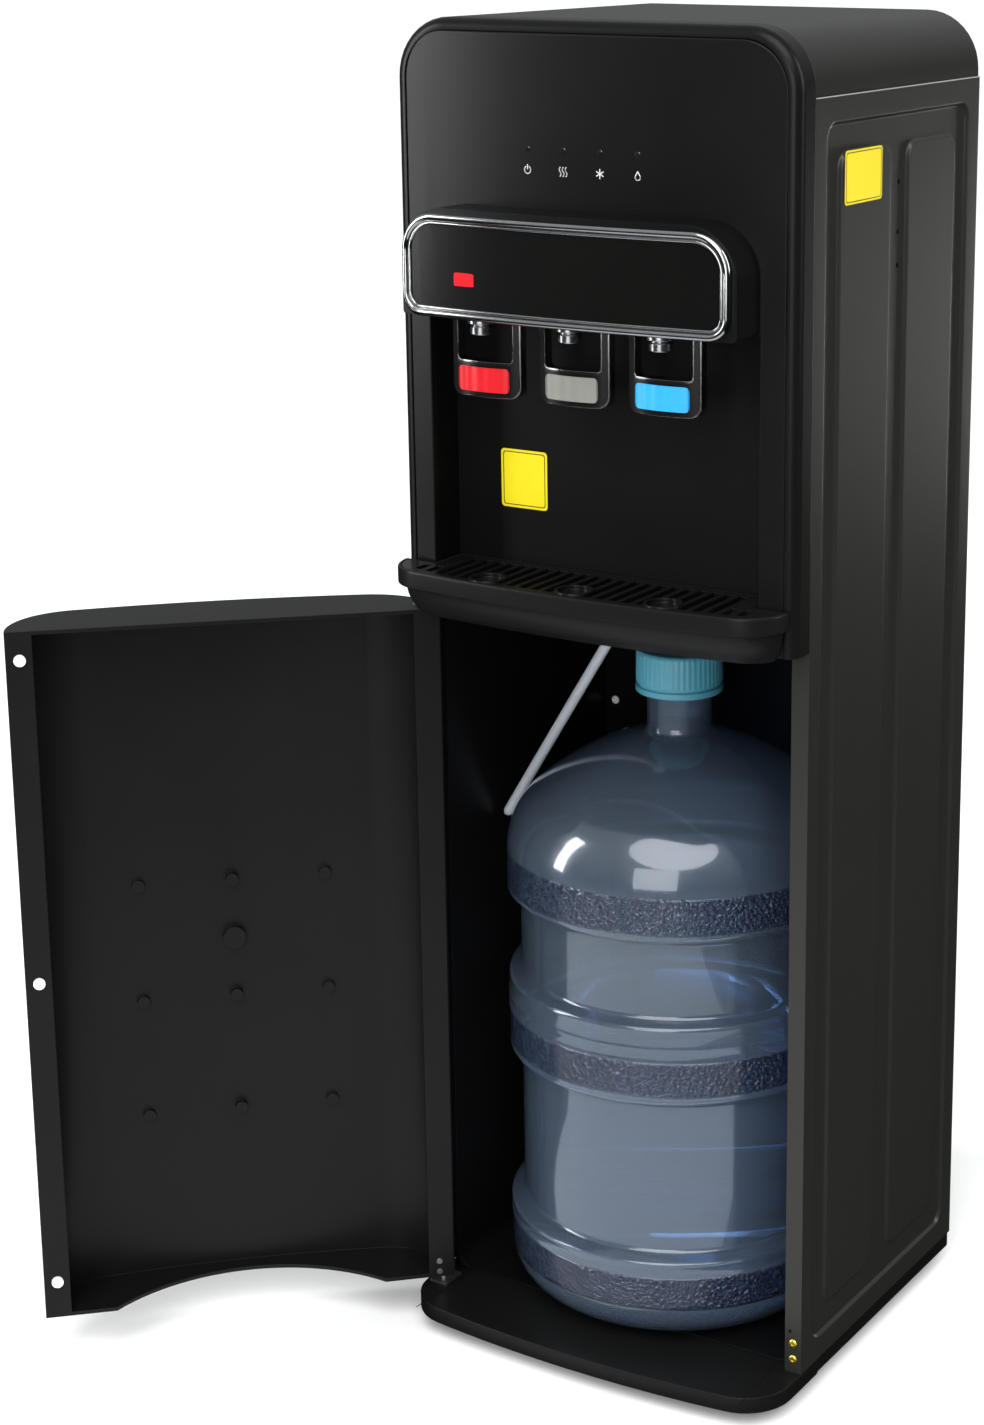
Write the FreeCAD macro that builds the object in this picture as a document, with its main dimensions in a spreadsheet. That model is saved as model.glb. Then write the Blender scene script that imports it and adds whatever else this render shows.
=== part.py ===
import FreeCAD, Part
import math
import os
import Sketcher
from types import SimpleNamespace

# A free-standing bottom load water cooler with its door open and a 19 litre bottle inside.
#
# The origin lies on the floor under the middle of the whole with its door open. The bottle's axis, which is
# the middle of the cabinet's width, stands at axis_across, axis_back from it. X points to the right, Y to
# the back and Z up. Sizes are millimetres and degrees.

Vector = FreeCAD.Vector

SIZES = {
    # where the bottle's axis stands
    "axis_across": 113.8,
    "axis_back": 77.7,
    # cabinet
    "cabinet_width": 335,
    "cabinet_height": 1040,
    "side_depth": 270,
    "lip_reach": 64,
    "lip_side": 28,
    "lip_corner": 40,
    "foot_height": 14,
    "foot_radius": 16,
    "foot_taper": 2,
    "foot_across": 105,
    "foot_setback": 75,
    "base_thickness": 13,
    "base_skin": 3,
    "base_rib": 4,
    "base_pans": 3,
    "panel_sheet": 1.2,
    "flange_width": 14,
    "cover_height": 49,
    "cover_wall": 3,
    "shoulder_radius": 43.6,
    "bow_radius": 1100,
    # embossing of the side panels
    "emboss_depth": 2,
    "emboss_margin": 17,
    "emboss_corner": 14,
    "inner_margin": 21,
    "inner_gap": 24,
    # front above the door
    "front_bottom": 600,
    "frame_depth": 23,
    "frame_wall": 9,
    "frame_rounding": 8.5,
    "fascia_wall": 3,
    "fascia_reach": 34,
    "niche_half": 139,
    "niche_top": 829,
    "niche_back": 8,
    "niche_wall": 2.5,
    "light_height": 950,
    "light_spacing": 30.5,
    "light_radius": 2.2,
    # tap hood
    "hood_reach": 73,
    "hood_top": 908,
    "hood_corner": 38,
    "hood_foot_corner": 3,
    "hood_wall": 3,
    "hood_front_wall": 2,
    "hood_cavity": 158,
    "hood_mouth_gap": 2.5,
    "plate_sunk": 3,
    "plate_thickness": 2.5,
    "bezel_half": 136,
    "bezel_top": 904,
    "bezel_bottom": 829.5,
    "bezel_corner_top": 28,
    "bezel_corner_bottom": 16,
    "bezel_band": 8,
    "bezel_rounding": 2.2,
    "button_width": 19.5,
    "button_height": 9.7,
    "button_level": 858.5,
    "button_place": -78,
    "button_stand": 0.5,
    "button_flange": 1.5,
    "button_lip": 1.2,
    "slip": 0.3,
    # indicator board
    "board_front": 129.5,
    "board_thickness": 1.5,
    "board_width": 120,
    "board_height": 40,
    "board_post": 4,
    # taps and paddles
    "tap_spacing": 75,
    "tap_line": 154.5,
    "tap_body_width": 38,
    "tap_body_front": 158,
    "tap_body_bottom": 832,
    "tap_body_top": 866,
    "tap_body_corner": 4,
    "tap_tail_radius": 6,
    "tap_tail_end": 108,
    "nozzle_radius": 10.5,
    "nozzle_bore": 4,
    "nozzle_lip": 2,
    "nozzle_bottom": 818,
    "pivot_height": 850,
    "pivot_radius": 3,
    "pivot_clearance": 0.05,
    "pivot_short": 0.5,
    "paddle_front": 155,
    "paddle_back": 141.5,
    "paddle_bow": 80,
    "pivot_line": 145.5,
    "paddle_width": 59,
    "paddle_bar": 6,
    "paddle_bottom": 771.5,
    "paddle_corner": 8,
    "paddle_eye": 7,
    "insert_height": 18,
    "insert_rim": 4,
    "insert_side": 1.5,
    "insert_corner": 5,
    "insert_sunk": 3,
    "insert_stand": 0.5,
    # shelf under the tray
    "apron_half": 160,
    "apron_front": 168,
    "apron_low_front": 153,
    "apron_corner": 34,
    "apron_draw": 4,
    "apron_gap": 7.5,
    "apron_drop": 2,
    # drip tray
    "tray_front": 173,
    "tray_half": 165,
    "tray_corner": 35,
    "tray_top": 636,
    "tray_rim": 14,
    "tray_wall": 3,
    "tray_gap": 1,
    "basin_half": 137,
    "basin_front": 159,
    "basin_corner": 22,
    "basin_gap": 1,
    "basin_depth": 15,
    "grille_thickness": 3.5,
    "grille_frame": 6,
    "grille_sunk": 0.5,
    "grille_ledge": 3,
    "slot_count": 28,
    "slot_pitch": 11,
    "bar_width": 4.5,
    "ring_radius": 14.5,
    "ring_wall": 2.5,
    "ring_line": 152,
    "ring_rise": 1,
    "ring_well": 2,
    # door
    "door_bottom": 36,
    "door_top": 596.5,
    "door_half": 162,
    "door_plane": 105.5,
    "door_front": 167.5,
    "door_corner": 56,
    "door_wall": 3,
    "door_rim": 20,
    "door_open": 137.2,
    "hinge_across": 155,
    "hinge_forward": 117,
    "hinge_pin_radius": 3,
    "hinge_pin_short": 1,
    "hinge_boss_radius": 5.5,
    "hinge_plate_half": 8,
    "hinge_boss_height": 14,
    "hinge_plate": 2,
    "bottle_arch": 150,
    "bumper_radius": 4.5,
    "bumper_height": 2.2,
    "bumper_inset": 10.5,
    "bumper_margin": 22,
    "bumper_middle": 318,
    "door_boss_radius": 5,
    "door_boss_length": 6,
    "door_boss_spacing": 73,
    "door_boss_height": 273,
    "door_boss_rise": 97.5,
    # bottle
    "bottle_floor": 29,
    "bottle_radius": 137,
    "waist_radius": 126.5,
    "bottle_wall": 1.8,
    "bottle_contact": 104,
    "push_up": 10,
    "foot_round": 31,
    "band_step": 2.5,
    "band_low_top": 103.5,
    "band_mid_low": 229,
    "band_mid_top": 298,
    "band_high_low": 362,
    "shoulder_low": 397,
    "shoulder_round": 62,
    "shoulder_mid_radius": 112.5,
    "shoulder_mid": 445,
    "dome_round": 220,
    "neck_flare": 34,
    "neck_low": 488.5,
    "neck_blend": 8.5,
    "neck_radius": 25.5,
    "neck_top": 545,
    "cap_radius": 33.5,
    "cap_wall": 2.5,
    "cap_collar": 6,
    "cap_rib": 1,
    "cap_ribs": 24,
    "cap_bottom": 523,
    "cap_top": 557,
    "water_level": 247,
    # compartment
    "liner_half": 155.5,
    "liner_wall": 2,
    "liner_front": 89,
    "liner_back": 142,
    "liner_corner": 14,
    "bead_width": 4.5,
    "bead_depth": 5,
    "deck_sheet": 2,
    # dip tube
    "tube_line": 23,
    "tube_foot_across": -147.1,
    "tube_foot_height": 404.3,
    "tube_tilt": 31.7,
    "tube_radius": 4.2,
    "tube_wall": 1.2,
    "grommet_radius": 12,
    "grommet_height": 20,
    "grommet_hang": 10,
    # tanks, pump and hoses
    "tank_line": 45,
    "tank_round": 14,
    "tank_stub": 12,
    "shelf_rise": 82,
    "shelf_front": -30,
    "shelf_rear": 110,
    "hot_radius": 46,
    "hot_height": 150,
    "cold_radius": 52,
    "cold_height": 170,
    "cold_pad": 5,
    "pump_front": 20,
    "pump_head_depth": 25,
    "pump_head_half": 25,
    "pump_head_height": 40,
    "pump_motor_radius": 18,
    "pump_motor_length": 60,
    "pump_level": 38,
    "hose_radius": 6,
    "hose_bore": 4,
    "hose_bend": 18,
    "hose_top": 900,
    "hose_drop": 60,
    # cooling
    "chip_side": 40,
    "chip_depth": 4,
    "sink_side": 90,
    "sink_plate": 5,
    "sink_fins": 10,
    "fin_thickness": 1.5,
    "fan_side": 92,
    "fan_depth": 25,
    "fan_bore": 43.5,
    "fan_blades": 7,
    "fan_gap": 1.5,
    "fan_hub": 17,
    "fan_pin": 2,
    "fan_strut": 4,
    # back
    "louvre_count": 8,
    "louvre_bottom": 862,
    "louvre_pitch": 12,
    "louvre_edge": 140,
    "louvre_length": 70,
    "louvre_slot": 4,
    "drain_level": 642,
    "drain_radius": 7.5,
    "drain_bore": 5,
    "drain_reach": 14,
    "drain_flange": 12,
    "drain_cap_radius": 10,
    "drain_cap_length": 15,
    "gland_radius": 8,
    "gland_flange": 11,
    "gland_reach": 9,
    "switch_level": 900,
    "switch_spacing": 26,
    "switch_width": 13,
    "switch_tall": 21,
    "switch_depth": 12,
    "switch_wall": 2,
    "switch_pin": 1.5,
    "screw_radius": 3,
    "screw_head": 0.5,
}

doc = FreeCAD.newDocument("bottom_load_water_cooler")
sheet = doc.addObject("Spreadsheet::Sheet", "sizes")
for row, (alias, value) in enumerate(SIZES.items(), start=1):
    sheet.set(f"A{row}", alias)
    sheet.set(f"B{row}", str(value))
    sheet.setAlias(f"B{row}", alias)
doc.recompute()


class Size(float):
    """A number together with the expression over the sheet's cells that gives it."""

    def __new__(cls, value, text):
        size = super().__new__(cls, value)
        size.text = text
        return size

    def __add__(self, other):
        return Size(float(self) + float(other), f"({self.text} + {text_of(other)})")

    def __radd__(self, other):
        return Size(float(other) + float(self), f"({text_of(other)} + {self.text})")

    def __sub__(self, other):
        return Size(float(self) - float(other), f"({self.text} - {text_of(other)})")

    def __rsub__(self, other):
        return Size(float(other) - float(self), f"({text_of(other)} - {self.text})")

    def __mul__(self, other):
        return Size(float(self) * float(other), f"({self.text} * {text_of(other)})")

    def __rmul__(self, other):
        return Size(float(other) * float(self), f"({text_of(other)} * {self.text})")

    def __truediv__(self, other):
        return Size(float(self) / float(other), f"({self.text} / {text_of(other)})")

    def __neg__(self):
        return Size(-float(self), f"(-1 * {self.text})")


def text_of(number):
    return getattr(number, "text", repr(round(float(number), 6)))


def root(number):
    return Size(math.sqrt(number), f"sqrt({text_of(number)})")


def turned(function, angle):
    return Size(getattr(math, function)(math.radians(angle)), f"{function}({angle.text})")


s = SimpleNamespace(**{alias: Size(sheet.get(alias), f"sizes.{alias}") for alias in SIZES})


# ---------------------------------------------------------------- how pieces are made

def bind(item, name, number):
    """Sets a property and ties it to the sheet where the number comes from there."""
    if hasattr(number, "text"):
        item.setExpression(name, number.text)
    elif "." not in name:
        setattr(item, name, number)
    elif number:
        item.setExpression(name, text_of(number))


def place(item, x=0, y=0, z=0):
    """Puts an item at a place that is given from the foot of the bottle's axis."""
    for axis, number in zip("xyz", (s.axis_across + x, s.axis_back + y, z)):
        bind(item, f"Placement.Base.{axis}", number)
    return item


def turn(item, axis, angle):
    """Turns an item about the axis by an angle of the sheet between 0 and 180."""
    item.Placement.Rotation = FreeCAD.Rotation(axis, float(angle))
    item.setExpression("Placement.Rotation.Angle", angle.text)
    return item


def new_body(label):
    body = doc.addObject("PartDesign::Body", label)
    body.Label = label
    body.AllowCompound = True
    return place(body)


def new_sketch(body, plane, offset=0):
    """A sketch on one of the body's own origin planes, moved along the plane's normal."""
    sketch = body.newObject("Sketcher::SketchObject", f"{body.Name}_outline")
    origin_plane = next(f for f in body.Origin.OriginFeatures if f.Role == f"{plane}_Plane")
    sketch.AttachmentSupport = [(origin_plane, "")]
    sketch.MapMode = "FlatFace"
    bind(sketch, "AttachmentOffset.Base.z", offset)
    return sketch


def pin_point(sketch, geometry, end, x, y):
    """Fixes one end or centre of a curve at x, y."""
    for kind, axis, number in (("DistanceX", -2, x), ("DistanceY", -1, y)):
        if not hasattr(number, "text") and number == 0:
            sketch.addConstraint(Sketcher.Constraint("PointOnObject", geometry, end, axis))
            continue
        index = sketch.addConstraint(Sketcher.Constraint(kind, -1, 1, geometry, end, float(number)))
        if hasattr(number, "text"):
            sketch.setExpression(f"Constraints[{index}]", number.text)


def draw_loop(sketch, points, closed=True):
    """Draws a closed loop, or an open path, of lines and arcs through the points.

    A point is (x, y), or (x, y, radius) where an arc leads to it: a positive radius turns left on
    the way there and a negative one turns right.
    """
    ends = []
    for here, there in zip(points, points[1:] + points[:1] if closed else points[1:]):
        a, b = Vector(here[0], here[1]), Vector(there[0], there[1])
        if len(there) == 2:
            index = sketch.addGeometry(Part.LineSegment(a, b))
            ends.append((index, 1, 2))
            continue
        left_turn = there[2] > 0
        first, last = (a, b) if left_turn else (b, a)
        chord = last - first
        half = chord.Length / 2
        away = Vector(chord.y, -chord.x).normalize()
        radius = max(abs(float(there[2])), half)
        rise = radius - math.sqrt(radius * radius - half * half)
        middle = (first + last) * 0.5 + away * rise
        index = sketch.addGeometry(Part.Arc(first, middle, last))
        ends.append((index, 1, 2) if left_turn else (index, 2, 1))
        number = sketch.addConstraint(Sketcher.Constraint("Radius", index, radius))
        if hasattr(there[2], "text"):
            text = there[2].text if left_turn else (-there[2]).text
            sketch.setExpression(f"Constraints[{number}]", text)
    for (index, begin, _), (before, _, finish), point in zip(ends, ends[-1:] + ends[:-1], points):
        if closed or point is not points[0]:
            sketch.addConstraint(Sketcher.Constraint("Coincident", before, finish, index, begin))
        pin_point(sketch, index, begin, point[0], point[1])
    if not closed:
        pin_point(sketch, ends[-1][0], ends[-1][2], points[-1][0], points[-1][1])


def draw_circle(sketch, x, y, radius):
    index = sketch.addGeometry(Part.Circle(Vector(x, y), Vector(0, 0, 1), float(radius)))
    pin_point(sketch, index, 3, x, y)
    number = sketch.addConstraint(Sketcher.Constraint("Radius", index, float(radius)))
    if hasattr(radius, "text"):
        sketch.setExpression(f"Constraints[{number}]", radius.text)


def rectangle(left, bottom, right, top, corner=0, top_corner=None):
    """The points of a rectangle, with rounded corners where a radius is given."""
    upper = corner if top_corner is None else top_corner
    if not corner and not upper:
        return [(left, bottom), (right, bottom), (right, top), (left, top)]
    points = [(left, bottom + corner), (left + corner, bottom, corner)]
    points += [(right - corner, bottom), (right, bottom + corner, corner)]
    points += [(right, top - upper), (right - upper, top, upper)]
    points += [(left + upper, top), (left, top - upper, upper)]
    if not corner:
        points = [(left, bottom), (right, bottom)] + points[4:]
    return points


def feature(body, kind, sketch, length=None, backwards=False, through=False):
    item = body.newObject(f"PartDesign::{kind}", f"{body.Name}_{kind}")
    item.Profile = sketch
    sketch.Visibility = False
    if through:
        item.Type = "ThroughAll"
        item.Midplane = True
    elif length is not None:
        bind(item, "Length", length)
        item.Reversed = backwards
    return item


def pad(body, plane, offset, length, loops, backwards=False):
    """Adds material from the offset plane along its normal, or against it."""
    sketch = new_sketch(body, plane, offset)
    for loop in loops:
        draw_loop(sketch, loop)
    return feature(body, "Pad", sketch, length, backwards)


def pocket(body, plane, offset, length, loops, forwards=True):
    """Removes material from the offset plane along its normal, or against it."""
    sketch = new_sketch(body, plane, offset)
    for loop in loops:
        draw_loop(sketch, loop)
    return feature(body, "Pocket", sketch, length, forwards)


def cut_through(body, plane, loops=(), circles=()):
    sketch = new_sketch(body, plane)
    for loop in loops:
        draw_loop(sketch, loop)
    for x, y, radius in circles:
        draw_circle(sketch, x, y, radius)
    return feature(body, "Pocket", sketch, through=True)


def rod(body, plane, offset, length, circles, kind="Pad"):
    """Round bosses or blind holes from the offset plane along its normal."""
    sketch = new_sketch(body, plane, offset)
    for x, y, radius in circles:
        draw_circle(sketch, x, y, radius)
    return feature(body, kind, sketch, length, backwards=kind != "Pad")


def revolve(body, loop, kind="Revolution"):
    """Turns a loop of (radius, height) points about the body's own Z axis."""
    sketch = new_sketch(body, "XZ")
    draw_loop(sketch, loop)
    item = body.newObject(f"PartDesign::{kind}", f"{body.Name}_{kind}")
    item.Profile = sketch
    item.ReferenceAxis = (sketch, ["V_Axis"])
    item.Angle = 360
    return item


def soften(body, kind, size, chosen):
    """A fillet or a chamfer on the edges of the body's tip for which chosen(edge) is true."""
    doc.recompute()
    base = body.Tip
    names = [f"Edge{n}" for n, edge in enumerate(base.Shape.Edges, start=1) if chosen(edge)]
    item = body.newObject(f"PartDesign::{kind}", f"{body.Name}_{kind}")
    item.Base = (base, names)
    bind(item, "Radius" if kind == "Fillet" else "Size", size)
    return item


def chords(start, finish, radius, count=2):
    """A shallow arc from start to finish as straight chords, without its start; signs as in draw_loop."""
    across, up = finish[0] - start[0], finish[1] - start[1]
    bulge = root(across * across + up * up) / (2 * radius)
    points = []
    for number in range(1, count):
        share = number / count
        lift = bulge * (share * (1 - share))
        points.append((start[0] + across * share + up * lift, start[1] + up * share - across * lift))
    return points + [finish]


def corner_centre(half, front, corner):
    """The centre of the round corner between a straight side and a bowed front."""
    reach = s.bow_radius - corner
    x = half - corner
    return x, s.bow_radius - front - root(reach * reach - x * x)


def bowed(half, front, back, corner, across=0):
    """A plan outline with a straight back, straight sides, round corners and a bowed front.

    The front is a circle of bow_radius whose nearest point stands at y = -front. Where the back
    runs through the corners, they begin there and the straight sides fall away.
    """
    centre_x, centre_y = corner_centre(half, front, corner)
    share = s.bow_radius / (s.bow_radius - corner)
    touch_x = centre_x * share
    touch_y = s.bow_radius - front - (s.bow_radius - front - centre_y) * share
    left, right = (across - touch_x, touch_y, corner), (across + touch_x, touch_y, s.bow_radius)
    if back < centre_y:
        side = centre_x + root(corner * corner - (centre_y - back) * (centre_y - back))
        return [(across - side, back), left, right, (across + side, back, corner)]
    return [
        (across - half, back), (across - half, centre_y), left, right,
        (across + half, centre_y, corner), (across + half, back),
    ]


def bow_at(front, x):
    """The y of a bowed front at a distance x from the middle."""
    return s.bow_radius - front - root(s.bow_radius * s.bow_radius - x * x)


def trim_in_front(body, front, half):
    """Cuts away what stands in front of a bowed surface."""
    edge = bow_at(front, half)
    out = edge - 60
    sketch = new_sketch(body, "XY")
    draw_loop(sketch, [(-half, out), (half, out), (half, edge), (-half, edge, -s.bow_radius)])
    return feature(body, "Pocket", sketch, through=True)


def trim_behind(body, front, half):
    """Cuts away what stands behind a bowed surface."""
    edge = bow_at(front, half)
    sketch = new_sketch(body, "XY")
    draw_loop(sketch, [(half, edge + 60), (-half, edge + 60), (-half, edge), (half, edge, s.bow_radius)])
    return feature(body, "Pocket", sketch, through=True)


def arch(half, bottom, top, corner):
    """A front outline with square lower corners and round shoulders."""
    return rectangle(-half, bottom, half, top, 0, corner)


# ---------------------------------------------------------------- places worked out from the sizes

half_width = s.cabinet_width / 2
front_edge = (s.lip_reach - s.side_depth) / 2
rear_edge = front_edge + s.side_depth
lip_front = s.lip_reach - front_edge
base_top = s.foot_height + s.base_thickness
cover_bottom = s.cabinet_height - s.cover_height
frame_front = front_edge - s.frame_depth
fascia_front = s.fascia_reach - front_edge
fascia_half = half_width - s.frame_wall
deck_top = s.front_bottom + s.deck_sheet
niche_face = s.niche_back + front_edge
bezel_front = s.hood_reach - front_edge
plate_front = bezel_front - s.plate_sunk
plate_back = plate_front - s.plate_thickness
hood_inside = plate_back - s.hood_front_wall
rim_bottom = s.tray_top - s.tray_rim
panel_inside = half_width - s.panel_sheet - 2 * s.emboss_depth
tube_top_x = s.tube_foot_across + turned("tan", s.tube_tilt) * (deck_top - s.tube_foot_height)
shelf_top = deck_top + s.shelf_rise
pump_level = deck_top + s.pump_level
fan_level = shelf_top + s.cold_height / 2
fan_front = s.tank_line + s.cold_radius + s.cold_pad
sink_depth = rear_edge - s.fan_depth - fan_front
back_face = rear_edge + s.panel_sheet


# ---------------------------------------------------------------- base and feet

def make_base():
    """The moulded base: a flat floor whose bowed lip reaches out in front of the cabinet."""
    body = new_body("base_plate")
    inside = half_width - s.panel_sheet
    lip_end = front_edge + s.lip_side
    outline = bowed(half_width, lip_front, lip_end, s.lip_corner)
    outline += [(inside, lip_end), (inside, rear_edge - s.panel_sheet)]
    outline += [(-inside, rear_edge - s.panel_sheet), (-inside, lip_end)]
    pad(body, "XY", s.foot_height, s.base_thickness, [outline])
    pans = []
    pitch = (2 * inside - s.base_rib) / s.base_pans
    depth = (rear_edge - lip_end) / 2
    for column in range(SIZES["base_pans"]):
        for line in range(2):
            left = -inside + s.base_rib + pitch * column
            front = lip_end + depth * line
            pans.append(rectangle(left, front, left + pitch - s.base_rib, front + depth - s.base_rib * 1.5))
    pocket(body, "XY", s.foot_height, s.base_thickness - s.base_skin, pans)
    rod(body, "XY", s.foot_height, s.base_thickness - s.base_skin, foot_spots(s.foot_radius + s.foot_taper))
    return body


def foot_spots(radius):
    front, rear = -(s.foot_setback), s.foot_setback + front_edge + rear_edge
    return [(x, y, radius) for x in (-s.foot_across, s.foot_across) for y in (front, rear)]


def make_feet():
    """Four rubber feet, a little narrower at the floor."""
    body = new_body("feet")
    rod(body, "XY", 0, s.foot_taper, foot_spots(s.foot_radius - s.foot_taper))
    rod(body, "XY", s.foot_taper, s.foot_height - s.foot_taper, foot_spots(s.foot_radius))
    return body


# ---------------------------------------------------------------- sheet metal and cover

def make_side_panel(label, side):
    """A folded steel side with a stepped field and two long sunk panels pressed into it."""
    body = new_body(label)
    sheet_inside = half_width - s.panel_sheet
    low, high = base_top, cover_bottom
    turned = side < 0
    start = sheet_inside if side > 0 else -half_width
    pad(body, "YZ", start, s.panel_sheet, [rectangle(front_edge, low, rear_edge, high)])

    def field(grow, corner):
        margin = s.emboss_margin - grow
        return rectangle(front_edge + margin, low + margin, rear_edge - margin, high - margin, corner)

    def long_panels(grow):
        margin = s.emboss_margin + s.inner_margin - grow
        middle = (front_edge + rear_edge) / 2
        half_gap = s.inner_gap / 2 - grow
        corner = s.emboss_corner - grow
        front = rectangle(front_edge + margin, low + margin, middle - half_gap, high - margin, corner)
        rear = rectangle(middle + half_gap, low + margin, rear_edge - margin, high - margin, corner)
        return [front, rear]

    skin = s.panel_sheet
    step = s.emboss_depth
    boss = side * sheet_inside
    pad(body, "YZ", boss, step, [field(skin, s.emboss_corner)], backwards=not turned)
    pad(body, "YZ", side * (sheet_inside - step), step, long_panels(skin), backwards=not turned)
    pocket(body, "YZ", side * half_width, step, [field(0, s.emboss_corner)], forwards=turned)
    pocket(body, "YZ", side * (half_width - step), step, long_panels(0), forwards=turned)

    edge, inner = side * half_width, side * (half_width - s.flange_width)
    left, right = (inner, edge) if side > 0 else (edge, inner)
    flanges = [
        rectangle(left, front_edge, right, front_edge + skin),
        rectangle(left, rear_edge - skin, right, rear_edge),
    ]
    pad(body, "XY", low, high - low, flanges)
    return body


def make_rear_panel():
    """The flat steel back, with louvre slots beside the fan and holes for what passes through."""
    body = new_body("rear_panel")
    half = half_width - s.panel_sheet
    pad(body, "XZ", -(rear_edge + s.panel_sheet), s.panel_sheet, [rectangle(-half, base_top, half, cover_bottom)])
    slots = []
    for line in range(SIZES["louvre_count"]):
        low = s.louvre_bottom + s.louvre_pitch * line
        for left in (-s.louvre_edge, s.louvre_edge - s.louvre_length):
            slots.append(rectangle(left, low, left + s.louvre_length, low + s.louvre_slot))
    cut_through(body, "XZ", slots)
    holes = [
        (-s.tap_spacing, s.drain_level, s.drain_radius + s.slip),
        (s.tap_spacing, s.drain_level, s.gland_radius),
        (s.tap_spacing, fan_level, s.fan_bore),
    ]
    cut_through(body, "XZ", circles=holes)
    half = s.switch_spacing / 2 + s.switch_width / 2 + s.switch_wall
    tall = s.switch_tall / 2 + s.switch_wall
    cut_through(body, "XZ", [rectangle(-half, s.switch_level - tall, half, s.switch_level + tall)])
    guard = new_sketch(body, "XZ", -(rear_edge + s.panel_sheet))
    draw_circle(guard, s.tap_spacing, fan_level, s.fan_bore / 2)
    draw_circle(guard, s.tap_spacing, fan_level, s.fan_bore / 2 - s.fan_pin)
    feature(body, "Pad", guard, s.panel_sheet)
    for across, up in ((s.fan_bore + s.fan_pin, s.fan_pin / 2), (s.fan_pin / 2, s.fan_bore + s.fan_pin)):
        bar = rectangle(s.tap_spacing - across, fan_level - up, s.tap_spacing + across, fan_level + up)
        pad(body, "XZ", -(rear_edge + s.panel_sheet), s.panel_sheet, [bar])
    return body


def make_top_cover():
    """The moulded top: a shallow arch that sits on both sides and closes the back."""
    body = new_body("top_cover")
    wall = s.cover_wall
    outside = arch(half_width, cover_bottom, s.cabinet_height, s.shoulder_radius)
    inside = arch(half_width - wall, cover_bottom, s.cabinet_height - wall, s.shoulder_radius - wall)
    pad(body, "XZ", -(rear_edge + s.panel_sheet), s.side_depth + s.panel_sheet, [outside])
    pocket(body, "XZ", -(rear_edge + s.panel_sheet - wall), s.side_depth, [inside])
    return body


# ---------------------------------------------------------------- front above the door

def make_front_frame():
    """The arched frame round the fascia, with a rounded front edge."""
    body = new_body("front_frame")
    wall = s.frame_wall
    outside = arch(half_width, s.front_bottom, s.cabinet_height, s.shoulder_radius)
    inside = arch(fascia_half, s.front_bottom, s.cabinet_height - wall, s.shoulder_radius - wall)
    pad(body, "XZ", -front_edge, s.frame_depth, [outside])
    cut_through(body, "XZ", [inside])

    def front_rim(edge):
        box = edge.BoundBox
        outer = max(-box.XMin, box.XMax) > fascia_half + 0.1 or box.ZMin > s.cabinet_height - 0.1
        return outer and box.YMax < frame_front + 0.1 and box.ZMax > s.front_bottom + 0.1

    soften(body, "Fillet", s.frame_rounding, front_rim)
    return body


def make_fascia():
    """The bowed front plate, open below for the niche, with four lamp holes and three tap holes."""
    body = new_body("fascia")
    top = s.cabinet_height - s.frame_wall
    outside = arch(fascia_half, s.front_bottom, top, s.shoulder_radius - s.frame_wall)
    pad(body, "XZ", -front_edge, s.fascia_reach + s.fascia_wall, [outside])
    trim_in_front(body, fascia_front, half_width)
    trim_behind(body, fascia_front - s.fascia_wall, half_width)
    opening = rectangle(-s.niche_half, s.front_bottom - 1, s.niche_half, s.niche_top)
    cut_through(body, "XZ", [opening])
    lamps = [(s.light_spacing * (n - 1.5), s.light_height, s.light_radius) for n in range(4)]
    tails = [(s.tap_spacing * n, s.pivot_height, s.tap_tail_radius + s.slip) for n in (-1, 0, 1)]
    cut_through(body, "XZ", circles=lamps + tails)
    return body


def make_niche():
    """The moulded cup niche behind the fascia: floor, two sides, back and top."""
    body = new_body("niche_liner")
    wall = s.niche_wall
    half = s.niche_half
    outside = rectangle(-(half + wall), deck_top, half + wall, s.niche_top + wall)
    inside = rectangle(-half, deck_top + wall, half, s.niche_top)
    depth = niche_face + wall + fascia_front
    pad(body, "XZ", -(niche_face + wall), depth, [outside])
    pocket(body, "XZ", -niche_face, depth, [inside])
    trim_in_front(body, fascia_front - s.fascia_wall, half_width)
    return body


def make_apron():
    """The shelf below the niche: a lofted apron with a hollow for the drip basin."""
    body = new_body("shelf_apron")
    back = -(fascia_front - s.apron_gap)
    high = bowed(s.apron_half, s.apron_front, back, s.apron_corner)
    low = bowed(s.apron_half - s.apron_draw, s.apron_low_front, back, s.apron_corner - s.apron_draw)
    first = new_sketch(body, "XY", s.front_bottom - s.apron_drop)
    draw_loop(first, low)
    second = new_sketch(body, "XY", rim_bottom)
    draw_loop(second, high)
    loft = body.newObject("PartDesign::AdditiveLoft", "shelf_apron_loft")
    loft.Profile = first
    loft.Sections = [second]
    loft.Ruled = True
    gap = s.basin_gap
    hollow = bowed(s.basin_half + gap, s.basin_front + gap, back + gap, s.basin_corner + gap)
    pocket(body, "XY", deck_top, s.tray_rim + s.basin_depth, [hollow])
    tongue_end = front_edge + s.panel_sheet
    tongue_half = s.niche_half - s.niche_wall
    tongue = rectangle(-tongue_half, back - gap, tongue_half, tongue_end)
    pad(body, "XY", s.front_bottom - s.apron_drop, s.apron_drop + s.deck_sheet, [tongue])
    return body


# ---------------------------------------------------------------- drip tray and grille

def tray_outline(inset):
    """The plan of the tray, drawn in by the inset all round: a bowed shelf and a tail in the niche."""
    back = -(fascia_front - s.apron_gap + inset)
    tail_half = s.niche_half - s.tray_gap - inset
    tail_end = niche_face - s.tray_gap - inset
    points = bowed(s.tray_half - inset, s.tray_front - inset, back, s.tray_corner - inset)
    points += [(tail_half, back), (tail_half, tail_end), (-tail_half, tail_end), (-tail_half, back)]
    return points


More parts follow.
